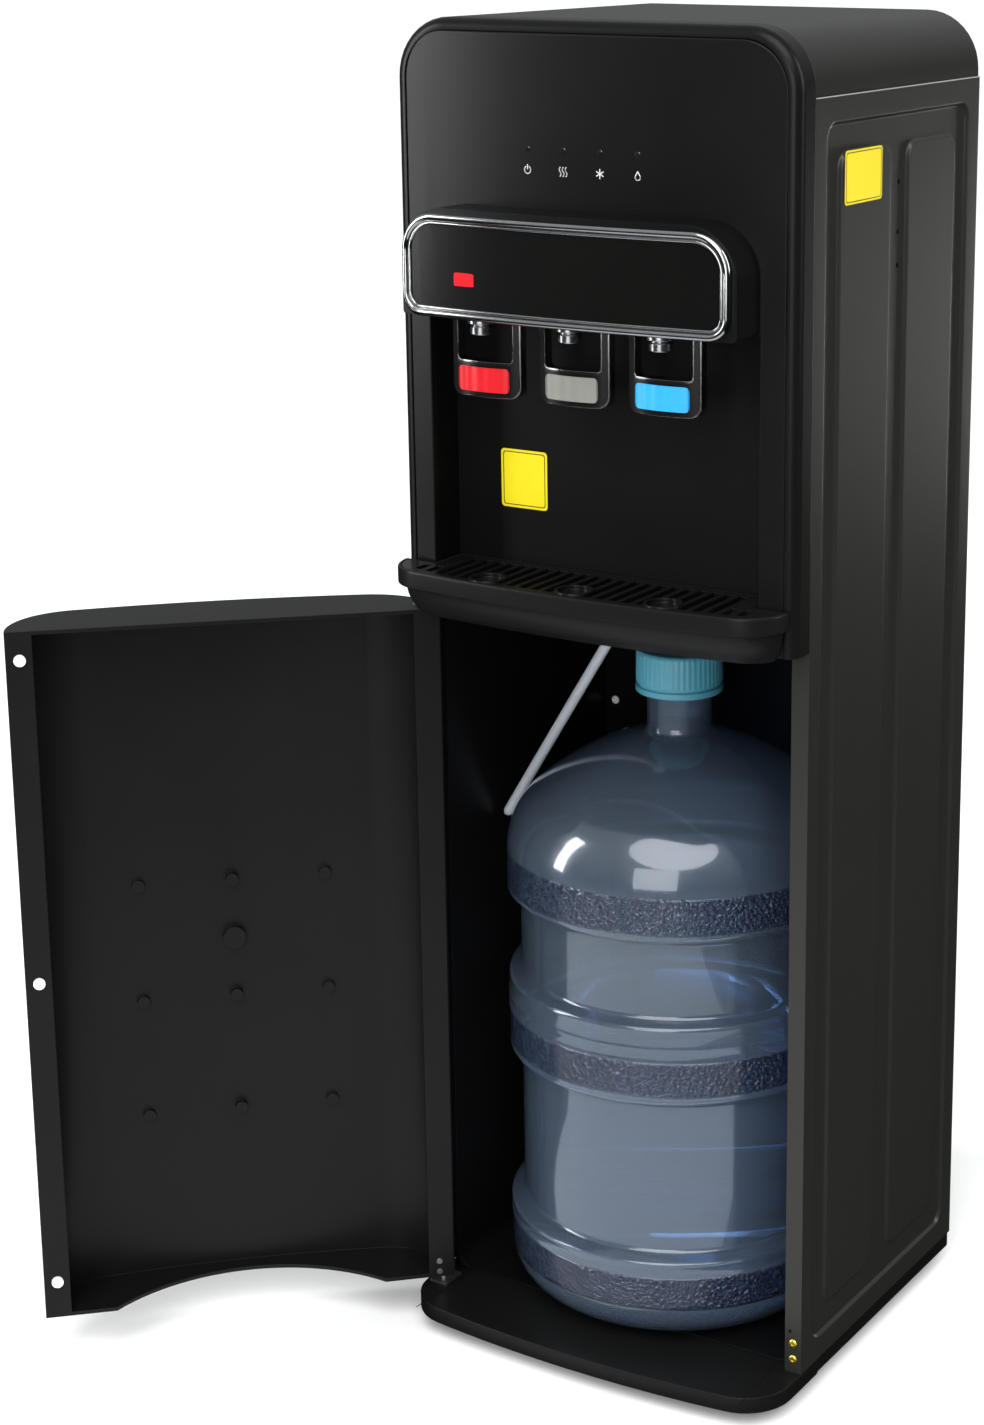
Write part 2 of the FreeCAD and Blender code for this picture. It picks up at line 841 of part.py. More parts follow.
def basin_outline(inset):
    tail_end = niche_face - s.tray_gap - inset
    return bowed(s.basin_half - inset, s.basin_front - inset, tail_end, s.basin_corner - inset)


def make_tray():
    """The lift-out drip tray: a thick rim with a seat for the grille and a basin below."""
    body = new_body("drip_tray")
    pad(body, "XY", rim_bottom, s.tray_rim, [tray_outline(0)])
    pad(body, "XY", rim_bottom - s.basin_depth, s.basin_depth, [basin_outline(0)])
    seat = s.tray_top - s.grille_thickness - s.grille_sunk
    pocket(body, "XY", seat, s.tray_rim, [tray_outline(s.tray_wall)])
    ledge = s.tray_wall + s.grille_ledge
    pocket(body, "XY", rim_bottom + s.tray_wall, s.tray_rim, [tray_outline(ledge)])
    floor = rim_bottom - s.basin_depth + s.tray_wall
    pocket(body, "XY", floor, s.tray_rim + s.basin_depth, [basin_outline(s.tray_wall)])
    return body


def make_grille():
    """The drip grille: a frame with parallel bars, and a ring under each tap."""
    body = new_body("grille")
    seat = s.tray_top - s.grille_thickness - s.grille_sunk
    outline = s.tray_wall + s.slip
    pad(body, "XY", seat, s.grille_thickness, [tray_outline(outline)])
    frame = outline + s.grille_frame
    tail_end = niche_face - s.tray_gap - frame
    shelf_back = -(fascia_front - s.apron_gap + frame)
    slot = s.slot_pitch - s.bar_width
    slots = []
    for number in range(SIZES["slot_count"]):
        middle = s.slot_pitch * (number - (SIZES["slot_count"] - 1) / 2)
        far = (middle if middle > 0 else -middle) + slot / 2
        if far > s.tray_half - s.tray_corner:
            reach = corner_reach(far, frame)
        else:
            reach = bow_at(s.tray_front - frame, far)
        back = tail_end if far < s.niche_half - s.tray_gap - frame else shelf_back
        if back - reach > slot:
            slots.append(rectangle(middle - slot / 2, reach, middle + slot / 2, back))
    cut_through(body, "XY", slots)
    rings = [(s.tap_spacing * n, -s.ring_line, s.ring_radius) for n in (-1, 0, 1)]
    rod(body, "XY", seat, s.grille_thickness + s.ring_rise, rings)
    wells = [(x, y, radius - s.ring_wall) for x, y, radius in rings]
    rod(body, "XY", seat + s.grille_thickness - s.ring_well, s.ring_well + s.ring_rise, wells, "Pocket")
    return body


def corner_reach(x, inset):
    """The y of the tray's rounded front corner, drawn in by the inset, at a distance x."""
    radius = s.tray_corner - inset
    centre_x, centre_y = corner_centre(s.tray_half, s.tray_front, s.tray_corner)
    return centre_y - root(radius * radius - (x - centre_x) * (x - centre_x))


# ---------------------------------------------------------------- tap hood

def bezel_outline(inset):
    return rectangle(-(s.bezel_half - inset), s.bezel_bottom + inset, s.bezel_half - inset,
                     s.bezel_top - inset, s.bezel_corner_bottom - inset, s.bezel_corner_top - inset)


def button_opening(grow):
    half = s.button_width / 2 + grow
    tall = s.button_height / 2 + grow
    return rectangle(s.button_place - half, s.button_level - tall, s.button_place + half, s.button_level + tall)


def make_hood():
    """The housing over the taps: hollow, open at the back and below."""
    body = new_body("tap_hood")
    half, wall = s.niche_half, s.hood_wall
    outside = rectangle(-half, s.niche_top, half, s.hood_top, s.hood_foot_corner, s.hood_corner)
    inside = rectangle(-(half - wall), s.niche_top + wall, half - wall, s.hood_top - wall, 0,
                       s.hood_corner - wall)
    pad(body, "XZ", -front_edge, bezel_front + front_edge, [outside])
    trim_in_front(body, plate_back, half_width)
    trim_behind(body, fascia_front, half_width)
    pocket(body, "XZ", -front_edge, s.hood_cavity + front_edge, [inside])
    mouth_half = s.tap_spacing + s.paddle_width / 2 + s.hood_mouth_gap
    for half, low, tall in ((mouth_half, s.niche_top, wall),
                            (half - wall, s.niche_top + wall, s.tap_body_top - s.niche_top - wall)):
        pocket(body, "XY", low, tall, [bowed(half, hood_inside, front_edge, 2 * wall)])
    cut_through(body, "XZ", [button_opening(s.slip)])
    return body


def make_hood_plate():
    """The glossy bowed plate inside the bezel."""
    body = new_body("hood_plate")
    pad(body, "XZ", -front_edge, bezel_front + front_edge, [bezel_outline(s.bezel_band)])
    trim_in_front(body, plate_front, half_width)
    trim_behind(body, plate_back, half_width)
    cut_through(body, "XZ", [button_opening(s.slip)])
    return body


def make_bezel():
    """The polished band round the plate."""
    body = new_body("chrome_bezel")
    pad(body, "XZ", -front_edge, bezel_front + front_edge, [bezel_outline(0)])
    trim_in_front(body, bezel_front, half_width)
    trim_behind(body, plate_back, half_width)
    cut_through(body, "XZ", [bezel_outline(s.bezel_band)])

    def front_rim(edge):
        return edge.BoundBox.YMax < bow_at(bezel_front, s.bezel_half) + 0.1

    soften(body, "Chamfer", s.bezel_rounding, front_rim)
    return body


def make_lock_button():
    """The sprung hot water lock button, kept in by a flange behind the hood's wall."""
    body = new_body("lock_button")
    face = -bow_at(plate_front, s.button_place) + s.button_stand
    flange_half = s.button_width / 2 + s.button_lip
    wall_back = -bow_at(hood_inside, s.button_place - flange_half) - s.slip
    pad(body, "XZ", wall_back - s.button_flange, face - wall_back + s.button_flange, [button_opening(0)])
    pad(body, "XZ", wall_back - s.button_flange, s.button_flange, [button_opening(s.button_lip)])
    return body


def make_lamps():
    """Four lamp lenses that stand on the indicator board and end flush in the fascia."""
    body = new_body("indicator_lenses")
    for number in range(4):
        across = s.light_spacing * (number - 1.5)
        tip = -bow_at(fascia_front, across)
        rod(body, "XZ", s.board_front, tip - s.board_front, [(across, s.light_height, s.light_radius)])
    return body


def make_indicator_board():
    """The small board behind the lamps, on two posts from the fascia."""
    body = new_body("indicator_board")
    half = s.board_width / 2
    low, high = s.light_height - s.board_height / 2, s.light_height + s.board_height / 2
    board = rectangle(-half, low, half, high)
    pad(body, "XZ", s.board_front - s.board_thickness, s.board_thickness, [board])
    post = half - s.board_post
    reach = -bow_at(fascia_front - s.fascia_wall, half - s.board_post / 2) - s.board_front
    rod(body, "XZ", s.board_front, reach, [(x, s.light_height, s.board_post / 2) for x in (-post, post)])
    return body


# ---------------------------------------------------------------- taps, nozzles and paddles

TAPS = {"hot": -1, "room": 0, "cold": 1}


def make_tap(name, number):
    """One tap body, bolted on the fascia, with its tail pipe and the paddle's pivot pin."""
    body = new_body(f"tap_{name}")
    across = s.tap_spacing * number
    half = s.tap_body_width / 2
    block = rectangle(across - half, s.tap_body_bottom, across + half, s.tap_body_top, s.tap_body_corner)
    pad(body, "XZ", -front_edge, s.tap_body_front + front_edge, [block])
    trim_behind(body, fascia_front, half_width)
    tail_length = s.tap_body_front - s.tap_tail_radius - s.tap_tail_end
    rod(body, "XZ", s.tap_tail_end, tail_length, [(across, s.pivot_height, s.tap_tail_radius)])
    rod(body, "XZ", s.tap_tail_end - s.tank_stub, s.tank_stub, [(across, s.pivot_height, s.hose_bore)])
    pin_half = s.paddle_width / 2 - s.pivot_short
    rod(body, "YZ", across - pin_half, pin_half * 2, [(-s.pivot_line, s.pivot_height, s.pivot_radius)])
    return body


def make_nozzle(name, number):
    """The chrome outlet under a tap, with its bore."""
    body = new_body(f"nozzle_{name}")
    length = s.tap_body_bottom - s.nozzle_bottom
    inner = s.nozzle_radius - s.nozzle_lip
    revolve(body, [
        (s.nozzle_bore, 0), (inner, 0), (inner, s.nozzle_lip), (s.nozzle_radius, s.nozzle_lip),
        (s.nozzle_radius, length), (s.nozzle_bore, length),
    ])
    return place(body, s.tap_spacing * number, -s.tap_line, s.nozzle_bottom)


def insert_outline(grow):
    half = s.paddle_width / 2 - s.paddle_bar - s.insert_side + grow
    low = s.paddle_bottom + s.insert_rim - grow
    return rectangle(-half, low, half, low + s.insert_height + 2 * grow, s.insert_corner + grow)


def paddle_trim(body, front):
    """Bows the front of a paddle piece about an upright axis behind it."""
    half = s.paddle_width / 2 + 1
    edge = s.paddle_bow - front - root(s.paddle_bow * s.paddle_bow - half * half)
    out = edge - 20
    sketch = new_sketch(body, "XY")
    draw_loop(sketch, [(-half, out), (half, out), (half, edge), (-half, edge, -s.paddle_bow)])
    return feature(body, "Pocket", sketch, through=True)


def make_paddle(name, number):
    """A push paddle: two arms down from the pivot and a bowed pad with a recess for the insert."""
    body = new_body(f"paddle_{name}")
    half = s.paddle_width / 2
    top = s.pivot_height + s.paddle_eye
    outline = rectangle(-half, s.paddle_bottom, half, top, s.paddle_corner, s.paddle_eye / 2)
    pad(body, "XZ", s.paddle_back, s.paddle_front - s.paddle_back, [outline])
    paddle_trim(body, s.paddle_front)
    inner = half - s.paddle_bar
    low = s.paddle_bottom + s.insert_height + 2 * s.insert_rim
    cut_through(body, "XZ", [rectangle(-inner, low, inner, top + 1)])
    pocket(body, "XZ", s.paddle_front - s.insert_sunk, s.insert_sunk, [insert_outline(0)])
    hole = [(-s.pivot_line, s.pivot_height, s.pivot_radius + s.pivot_clearance)]
    cut_through(body, "YZ", circles=hole)
    return place(body, s.tap_spacing * number)


def make_insert(name, number):
    """The coloured insert of a paddle."""
    body = new_body(f"insert_{name}")
    back = s.paddle_front - s.insert_sunk
    pad(body, "XZ", back, s.insert_sunk + s.insert_stand, [insert_outline(0)])
    paddle_trim(body, s.paddle_front + s.insert_stand)
    return place(body, s.tap_spacing * number)


# ---------------------------------------------------------------- door

def hang(item):
    """Puts a door piece, drawn closed about the hinge axis, in its opened place."""
    place(item, -s.hinge_across, -s.hinge_forward)
    return turn(item, Vector(0, 0, -1), s.door_open)


def door_outline(inset, back):
    points = bowed(s.door_half - inset, s.door_front - inset, back, s.door_corner - inset, s.hinge_across)
    return [(p[0], p[1] + s.hinge_forward) + p[2:] for p in points]


def make_door():
    """The moulded door: a bowed shell with a rim down both sides and an arch for the bottle."""
    body = new_body("door_shell")
    wall = s.door_wall
    height = s.door_top - s.door_bottom
    pad(body, "XY", s.door_bottom, height, [door_outline(0, -s.door_plane)])
    cavity = door_outline(wall, -(s.door_plane + wall))
    pocket(body, "XY", s.door_bottom + wall, height - 2 * wall, [cavity])
    middle, forward = s.hinge_across, s.hinge_forward
    mouth_half = s.door_half - s.door_rim
    mouth = rectangle(middle - mouth_half, s.door_bottom + wall, middle + mouth_half, s.door_top - wall)
    pocket(body, "XZ", s.door_plane - forward - 1, wall + 2, [mouth])
    reach = root(s.bottle_arch * s.bottle_arch - s.door_plane * s.door_plane)
    back = forward - s.door_plane
    arc = [(middle - reach, back), (middle + reach, back, s.bottle_arch)]
    pocket(body, "XY", s.door_bottom - 1, wall + 2, [arc])
    for level in (s.door_bottom, s.door_top - s.hinge_boss_height):
        rod(body, "XY", level, s.hinge_boss_height, [(0, 0, s.hinge_boss_radius)])
        rod(body, "XY", level, s.hinge_boss_height, [(0, 0, s.hinge_pin_radius + s.pivot_clearance)], "Pocket")
    bosses = []
    for across in (-1, 0, 1):
        for level in (-1, 0, 1):
            bosses.append((middle + s.door_boss_spacing * across, s.door_boss_height + s.door_boss_rise * level,
                           s.door_boss_radius))
    bosses.append((middle, s.door_boss_height + s.door_boss_rise / 2, s.door_boss_radius * 1.8))
    tips = s.door_front - wall - forward - s.door_boss_length
    rod(body, "XZ", tips, s.door_boss_length + wall / 2, bosses)
    return hang(body)


def make_bumpers():
    """Three soft bumpers on the door's free edge."""
    body = new_body("door_bumpers")
    across = s.hinge_across + s.door_half - s.bumper_inset
    levels = [s.door_top - s.bumper_margin, s.bumper_middle, s.door_bottom + s.bumper_margin * 1.4]
    spots = [(across, level, s.bumper_radius) for level in levels]
    rod(body, "XZ", s.door_plane - s.hinge_forward - s.bumper_height, s.bumper_height, spots)
    return hang(body)


def make_hinge(label, level, pin_bottom, pin_top):
    """A hinge plate on the cabinet with the door's pin."""
    body = new_body(label)
    across, forward, half = s.hinge_across, s.hinge_forward, s.hinge_plate_half
    plate = rectangle(-(across + half), -(forward + half), -(across - half), front_edge)
    pad(body, "XY", level, s.hinge_plate, [plate])
    rod(body, "XY", pin_bottom, pin_top - pin_bottom, [(-across, -forward, s.hinge_pin_radius)])
    return body


# ---------------------------------------------------------------- compartment

def make_liner():
    """The moulded tub round the bottle, with a bead round its mouth."""
    body = new_body("compartment_liner")
    wall = s.liner_wall
    half = s.liner_half
    low, high = base_top, s.front_bottom
    corner = s.liner_corner
    outside = rectangle(-(half + wall), low, half + wall, high, corner + wall)
    inside = rectangle(-half, low + wall, half, high - wall, corner)
    pad(body, "XZ", -(s.liner_back + wall), s.liner_back + wall + s.liner_front, [outside])
    bead = rectangle(-(half + s.bead_width), low, half + s.bead_width, high, corner)
    pad(body, "XZ", s.liner_front, s.bead_depth, [bead])
    pocket(body, "XZ", -s.liner_back, s.liner_back + s.liner_front + s.bead_depth + 1, [inside])
    rod(body, "XY", high - 2 * wall, 3 * wall, [(tube_top_x, -s.tube_line, s.grommet_radius)], "Pocket")
    return body


def make_deck():
    """The folded steel deck over the compartment; it carries the tanks and the pump."""
    body = new_body("deck")
    front = front_edge + s.panel_sheet
    outline = rectangle(-panel_inside, front, panel_inside, rear_edge - s.panel_sheet)
    pad(body, "XY", s.front_bottom, s.deck_sheet, [outline])
    cut_through(body, "XY", circles=[(tube_top_x, -s.tube_line, s.grommet_radius)])
    return body


def bottle_outline(inset):
    """The bottle's half profile from the floor to the neck, as (radius, height) points."""
    band, waist = s.bottle_radius - inset, s.waist_radius - inset
    floor = s.bottle_floor + inset
    contact = s.bottle_contact - inset
    neck = s.neck_radius - inset
    foot = s.foot_round
    bulge = s.bottle_radius - s.bottle_contact
    foot_bend = (bulge * bulge + foot * foot) / (2 * foot) + s.slip
    step = s.band_step
    low_top, mid_low, mid_top, high_low = s.band_low_top, s.band_mid_low, s.band_mid_top, s.band_high_low
    shoulder = (band, s.shoulder_low)
    dome = (s.shoulder_mid_radius - inset, s.shoulder_mid - inset / 2)
    flare = (s.neck_flare - inset, s.neck_low - inset)
    return [
        (0, floor + s.push_up), (contact - s.push_up * 2, floor + s.push_up), (contact, floor),
        *chords((contact, floor), (band, floor + foot), foot_bend), (band, low_top - step), (waist, low_top),
        (waist, mid_low), (band, mid_low + step), (band, mid_top - step), (waist, mid_top),
        (waist, high_low), (band, high_low + step), shoulder,
        *chords(shoulder, dome, s.shoulder_round), *chords(dome, flare, s.dome_round, 3),
        (neck, s.neck_low + s.neck_blend),
    ]


def make_bottle():
    """The 19 litre bottle: a blown shell with three wide bands, a domed shoulder and an open neck."""
    body = new_body("bottle")
    top = [(s.neck_radius, s.neck_top), (0, s.neck_top)]
    revolve(body, bottle_outline(0) + top)
    inner = [(s.neck_radius - s.bottle_wall, s.neck_top), (0, s.neck_top)]
    revolve(body, bottle_outline(s.bottle_wall) + inner, "Groove")
    return body


def make_water():
    """The water left in the bottle."""
    body = new_body("bottle_water")
    inside = s.bottle_radius - s.bottle_wall
    revolve(body, bottle_outline(s.bottle_wall)[:9] + [(inside, s.water_level), (0, s.water_level)])
    return body


def make_cap():
    """The ribbed cap over the neck, with its tear-off collar."""
    body = new_body("bottle_cap")
    radius, wall = s.cap_radius, s.cap_wall
    bore = s.neck_radius
    collar = s.cap_bottom + s.cap_collar
    revolve(body, [
        (bore, s.cap_bottom), (radius + s.cap_rib, s.cap_bottom), (radius + s.cap_rib, collar),
        (radius, collar), (radius, s.cap_top - wall), (radius - wall, s.cap_top), (0, s.cap_top),
        (0, s.neck_top), (bore, s.neck_top),
    ])
    sketch = new_sketch(body, "XY", s.cap_bottom)
    draw_loop(sketch, rectangle(-s.cap_rib / 2, radius - wall, s.cap_rib / 2, radius + s.cap_rib))
    rib = feature(body, "Pad", sketch, s.cap_top - wall - s.cap_bottom)
    ring = body.newObject("PartDesign::PolarPattern", "bottle_cap_ribs")
    ring.Originals = [rib]
    ring.Axis = (sketch, ["N_Axis"])
    ring.Angle = 360
    ring.Occurrences = SIZES["cap_ribs"]
    body.Tip = ring
    return body


def along_tube(item, distance):
    """Places a piece drawn on its own Z axis on the tube's slanted axis."""
    place(item, s.tube_foot_across + turned("sin", s.tube_tilt) * distance, -s.tube_line,
          s.tube_foot_height + turned("cos", s.tube_tilt) * distance)
    return turn(item, Vector(0, 1, 0), s.tube_tilt)


def make_dip_tube():
    """The stiff clear tube that hangs beside the bottle, closed and rounded at its low end."""
    body = new_body("dip_tube")
    radius, bore = s.tube_radius, s.tube_radius - s.tube_wall
    length = (deck_top - s.tube_foot_height) / turned("cos", s.tube_tilt)
    revolve(body, [
        (0, -radius), *chords((0, -radius), (radius, 0), radius), (radius, length), (bore, length), (bore, 0),
        *chords((bore, 0), (0, -bore), -bore),
    ])
    return along_tube(body, 0)


def make_grommet():
    """The moulded elbow in the ceiling that holds the slanted tube."""
    outer_part = doc.addObject("Part::Cylinder", "grommet_body")
    bind(outer_part, "Radius", s.grommet_radius)
    bind(outer_part, "Height", s.grommet_height)
    place(outer_part, tube_top_x, -s.tube_line, deck_top - s.grommet_hang)
    bore = doc.addObject("Part::Cylinder", "grommet_bore")
    bind(bore, "Radius", s.tube_radius)
    bind(bore, "Height", s.grommet_height * 4)
    along_tube(bore, (s.front_bottom - s.grommet_height - s.tube_foot_height) / turned("cos", s.tube_tilt))
    grommet = doc.addObject("Part::Cut", "tube_grommet")
    grommet.Base = outer_part
    grommet.Tool = bore
    return grommet


# ---------------------------------------------------------------- tanks and pump

def make_tank_shelf():
    """The folded bridge on the deck that carries both tanks."""
    body = new_body("tank_shelf")
    sheet_gap = s.deck_sheet
    outside = rectangle(-panel_inside, deck_top, panel_inside, shelf_top)
    inside = rectangle(-(panel_inside - sheet_gap), deck_top - 1, panel_inside - sheet_gap, shelf_top - sheet_gap)
    pad(body, "XZ", -s.shelf_rear, s.shelf_rear - s.shelf_front, [outside])
    cut_through(body, "XZ", [inside])
    cut_through(body, "XY", circles=[(-s.tap_spacing, s.tank_line, s.drain_radius + s.slip)])
    return body


def make_tank(label, x, radius, height, padded):
    """A round tank with drawn edges and a stub for its hose; the cold one has a cooling pad behind."""
    body = new_body(label)
    rim = s.tank_round
    revolve(body, [
        (0, 0), (radius - rim, 0), *chords((radius - rim, 0), (radius, rim), rim),
        (radius, height - rim), *chords((radius, height - rim), (radius - rim, height), rim),
        (s.hose_bore, height), (s.hose_bore, height + s.tank_stub), (0, height + s.tank_stub),
    ])
    if padded:
        half = s.chip_side / 2
        block = rectangle(-half, height / 2 - half, half, height / 2 + half)
        pad(body, "XZ", -(radius + s.cold_pad), radius, [block])
    return place(body, x, s.tank_line, shelf_top)


def make_pump():
    """The little pump on the deck: a square head in front, a round motor behind and two feet."""
    body = new_body("pump")
    middle = tube_top_x / 2
    half, tall = s.pump_head_half, s.pump_head_height / 2
    back = s.pump_front + s.pump_head_depth
    head = rectangle(middle - half, pump_level - tall, middle + half, pump_level + tall, s.tap_body_corner)
    pad(body, "XZ", -back, s.pump_head_depth, [head])
    rod(body, "XZ", -(back + s.pump_motor_length), s.pump_motor_length, [(middle, pump_level, s.pump_motor_radius)])
    rod(body, "XZ", -s.pump_front, s.tank_stub,
        [(tube_top_x, pump_level, s.hose_bore), (0, pump_level, s.hose_bore)])
    for near, depth in ((s.pump_front, s.pump_head_depth), (back + s.pump_motor_length / 2, s.pump_motor_radius)):
        foot = rectangle(middle - s.pump_motor_radius, near, middle + s.pump_motor_radius, near + depth)
        pad(body, "XY", deck_top, s.pump_level - s.pump_motor_radius / 2, [foot])
    return body


def bent(corners, bend):
    """A path through corners that lie square to each other, each cut off by a short slanting length."""
    points = [corners[0]]
    for before, here, after in zip(corners, corners[1:], corners[2:]):
        for other in (before, after):
            reach = [math.copysign(1, b - a) if abs(b - a) > 1e-6 else 0 for a, b in zip(here, other)]
            points.append(tuple(at + bend * sign if sign else at for at, sign in zip(here, reach)))
    return points + [corners[-1]]


def make_hose(label, x, corners, outer, bore):
    """A pipe in an upright plane: corners are (y, z) and it starts along Y."""
    body = new_body(label)
    profile = new_sketch(body, "XZ", -corners[0][0])
    draw_circle(profile, x, corners[0][1], outer)
    draw_circle(profile, x, corners[0][1], bore)
    path = new_sketch(body, "YZ", x)
    draw_loop(path, bent(corners, s.hose_bend), closed=False)
    pipe = body.newObject("PartDesign::AdditivePipe", f"{label}_pipe")
    pipe.Profile = profile
    pipe.Spine = path
    pipe.Transition = "Right corner"
    profile.Visibility = False
    path.Visibility = False
    return body


def tank_hose(label, x, height):
    """A hose from a tap's tail up, back and down to a tank's stub."""
    rise = -(s.tap_tail_end - s.hose_drop)
    corners = [(-s.tap_tail_end, s.pivot_height), (rise, s.pivot_height), (rise, s.hose_top),
               (s.tank_line, s.hose_top), (s.tank_line, shelf_top + height)]
    return make_hose(label, x, corners, s.hose_radius, s.hose_bore)


# ---------------------------------------------------------------- cooling

def make_cooling_module():
    """The cooling chip with its finned heat sink."""
    body = new_body("cooling_module")
    chip, half = s.chip_side / 2, s.sink_side / 2
    plate_end = s.chip_depth + s.sink_plate
    pad(body, "XZ", -s.chip_depth, s.chip_depth, [rectangle(-chip, -chip, chip, chip)])
    pad(body, "XZ", -plate_end, s.sink_plate, [rectangle(-half, -half, half, half)])
    sketch = new_sketch(body, "XZ", -sink_depth)
    pitch = (s.sink_side - s.fin_thickness) / (SIZES["sink_fins"] - 1)
    for number in range(SIZES["sink_fins"]):
        left = pitch * number - half
        draw_loop(sketch, rectangle(left, -half, left + s.fin_thickness, half))
    feature(body, "Pad", sketch, sink_depth - plate_end)
    return place(body, s.tap_spacing, fan_front, fan_level)


def make_fan_housing():
    """The square fan frame with its motor boss on four struts and the rotor's pin."""
    body = new_body("fan_housing")
    half, strut = s.fan_side / 2, s.fan_strut / 2
    pad(body, "XZ", -s.fan_depth, s.fan_depth, [rectangle(-half, -half, half, half, s.fan_strut)])
    cut_through(body, "XZ", circles=[(0, 0, s.fan_bore)])
    far = s.fan_bore + 1
    for across, up in ((far, strut), (strut, far)):
        pad(body, "XZ", -s.fan_strut, s.fan_strut, [rectangle(-across, -up, across, up)])
    rod(body, "XZ", -s.fan_strut, s.fan_strut, [(0, 0, s.fan_hub - s.fan_gap)])
    rod(body, "XZ", -(s.fan_depth - s.fan_strut), s.fan_depth - s.fan_strut, [(0, 0, s.fan_pin)])
    return place(body, s.tap_spacing, rear_edge - s.fan_depth, fan_level)


def make_fan_rotor():
    """The fan's hub with its pitched blades, turning on the housing's pin."""
    body = new_body("fan_rotor")
    low = s.fan_strut + s.slip
    high = s.fan_depth - s.fan_gap
    tip = s.fan_bore - s.fan_gap
    rod(body, "XY", low, high - low, [(0, 0, s.fan_hub)])
    sketch = new_sketch(body, "XZ")
    lean, thick = s.fan_hub / 2, s.fan_pin
    blade_low, blade_high = low + s.fan_gap, high - s.fan_gap
    draw_loop(sketch, [(-lean, blade_low), (thick - lean, blade_low), (lean, blade_high), (lean - thick, blade_high)])
    blade = feature(body, "Pad", sketch, tip - s.fan_gap / 2)
    ring = body.newObject("PartDesign::PolarPattern", "fan_rotor_blades")
    ring.Originals = [blade]
    ring.Axis = (sketch, ["V_Axis"])
    ring.Angle = 360
    ring.Occurrences = SIZES["fan_blades"]
    body.Tip = ring
    outside = new_sketch(body, "XY")
    draw_circle(outside, 0, 0, s.fan_side)
    draw_circle(outside, 0, 0, tip)
    feature(body, "Pocket", outside, through=True)
    rod(body, "XY", 0, s.fan_depth - s.fan_strut + s.slip, [(0, 0, s.fan_pin + s.pivot_clearance)], "Pocket")
    place(body, s.tap_spacing, rear_edge - s.fan_depth, fan_level)
    body.Placement.Rotation = FreeCAD.Rotation(Vector(1, 0, 0), -90)
    return body


# ---------------------------------------------------------------- fittings on the back

def make_drain_spout():
    """The hot tank's drain: a pipe from under the tank out through the back, with a flange."""
    corners = [(back_face + s.drain_reach, s.drain_level), (s.tank_line, s.drain_level), (s.tank_line, shelf_top)]
    body = make_hose("drain_spout", -s.tap_spacing, corners, s.drain_radius, s.drain_bore)
    flange = new_sketch(body, "XZ", -(back_face + s.deck_sheet))
    draw_circle(flange, -s.tap_spacing, s.drain_level, s.drain_flange)
    draw_circle(flange, -s.tap_spacing, s.drain_level, s.drain_bore)
    feature(body, "Pad", flange, s.deck_sheet)
    return body


def make_drain_cap():
    """The screw cap of the drain."""
    body = new_body("drain_cap")
    bore = s.drain_radius + s.pivot_clearance
    depth = s.drain_reach - s.deck_sheet - s.slip
    revolve(body, [
        (bore, 0), (s.drain_cap_radius, 0), (s.drain_cap_radius, s.drain_cap_length), (0, s.drain_cap_length),
        (0, depth), (bore, depth),
    ])
    grips = new_sketch(body, "XY")
    draw_loop(grips, rectangle(s.drain_cap_radius - s.slip, -s.cap_rib, s.drain_cap_radius + s.cap_rib, s.cap_rib))
    grip = feature(body, "Pad", grips, s.drain_cap_length)
    ring = body.newObject("PartDesign::PolarPattern", "drain_cap_grips")
    ring.Originals = [grip]
    ring.Axis = (grips, ["N_Axis"])
    ring.Angle = 360
    ring.Occurrences = 8
    body.Tip = ring
    place(body, -s.tap_spacing, back_face + s.deck_sheet + s.slip, s.drain_level)
    body.Placement.Rotation = FreeCAD.Rotation(Vector(1, 0, 0), -90)
    return body


def make_gland():
    """The cable gland in the back, without its cord."""
    body = new_body("cord_gland")
    revolve(body, [
        (s.hose_bore, 0), (s.gland_radius, 0), (s.gland_radius, s.gland_reach), (s.gland_flange, s.gland_reach),
        (s.gland_flange, s.gland_reach + s.deck_sheet), (s.gland_radius, s.gland_reach * 2), (s.hose_bore, s.gland_reach * 2),
    ])
    place(body, s.tap_spacing, back_face - s.gland_reach, s.drain_level)
    body.Placement.Rotation = FreeCAD.Rotation(Vector(1, 0, 0), -90)
    return body


def switch_outline(side, grow):
    middle = side * s.switch_spacing / 2
    half, tall = s.switch_width / 2 + grow, s.switch_tall / 2 + grow
    return rectangle(middle - half, s.switch_level - tall, middle + half, s.switch_level + tall)


def make_switch_frame():
    """The frame of the two rocker switches, snapped into the back, with a pin through each rocker."""
    body = new_body("switch_frame")
    wall = s.switch_wall
    half = s.switch_spacing / 2 + s.switch_width / 2 + wall * 2
    tall = s.switch_tall / 2 + wall * 2
    pad(body, "XZ", -(back_face + wall), wall,
        [rectangle(-half, s.switch_level - tall, half, s.switch_level + tall, wall)])
    pad(body, "XZ", -back_face, s.switch_depth + wall, [switch_outline(side, wall) for side in (-1, 1)])
    pocket(body, "XZ", -(back_face + wall), s.switch_depth + wall, [switch_outline(side, s.slip) for side in (-1, 1)])
    pin_half = half - wall
    rod(body, "YZ", -pin_half, pin_half * 2, [(back_face, s.switch_level, s.switch_pin)])
    return body


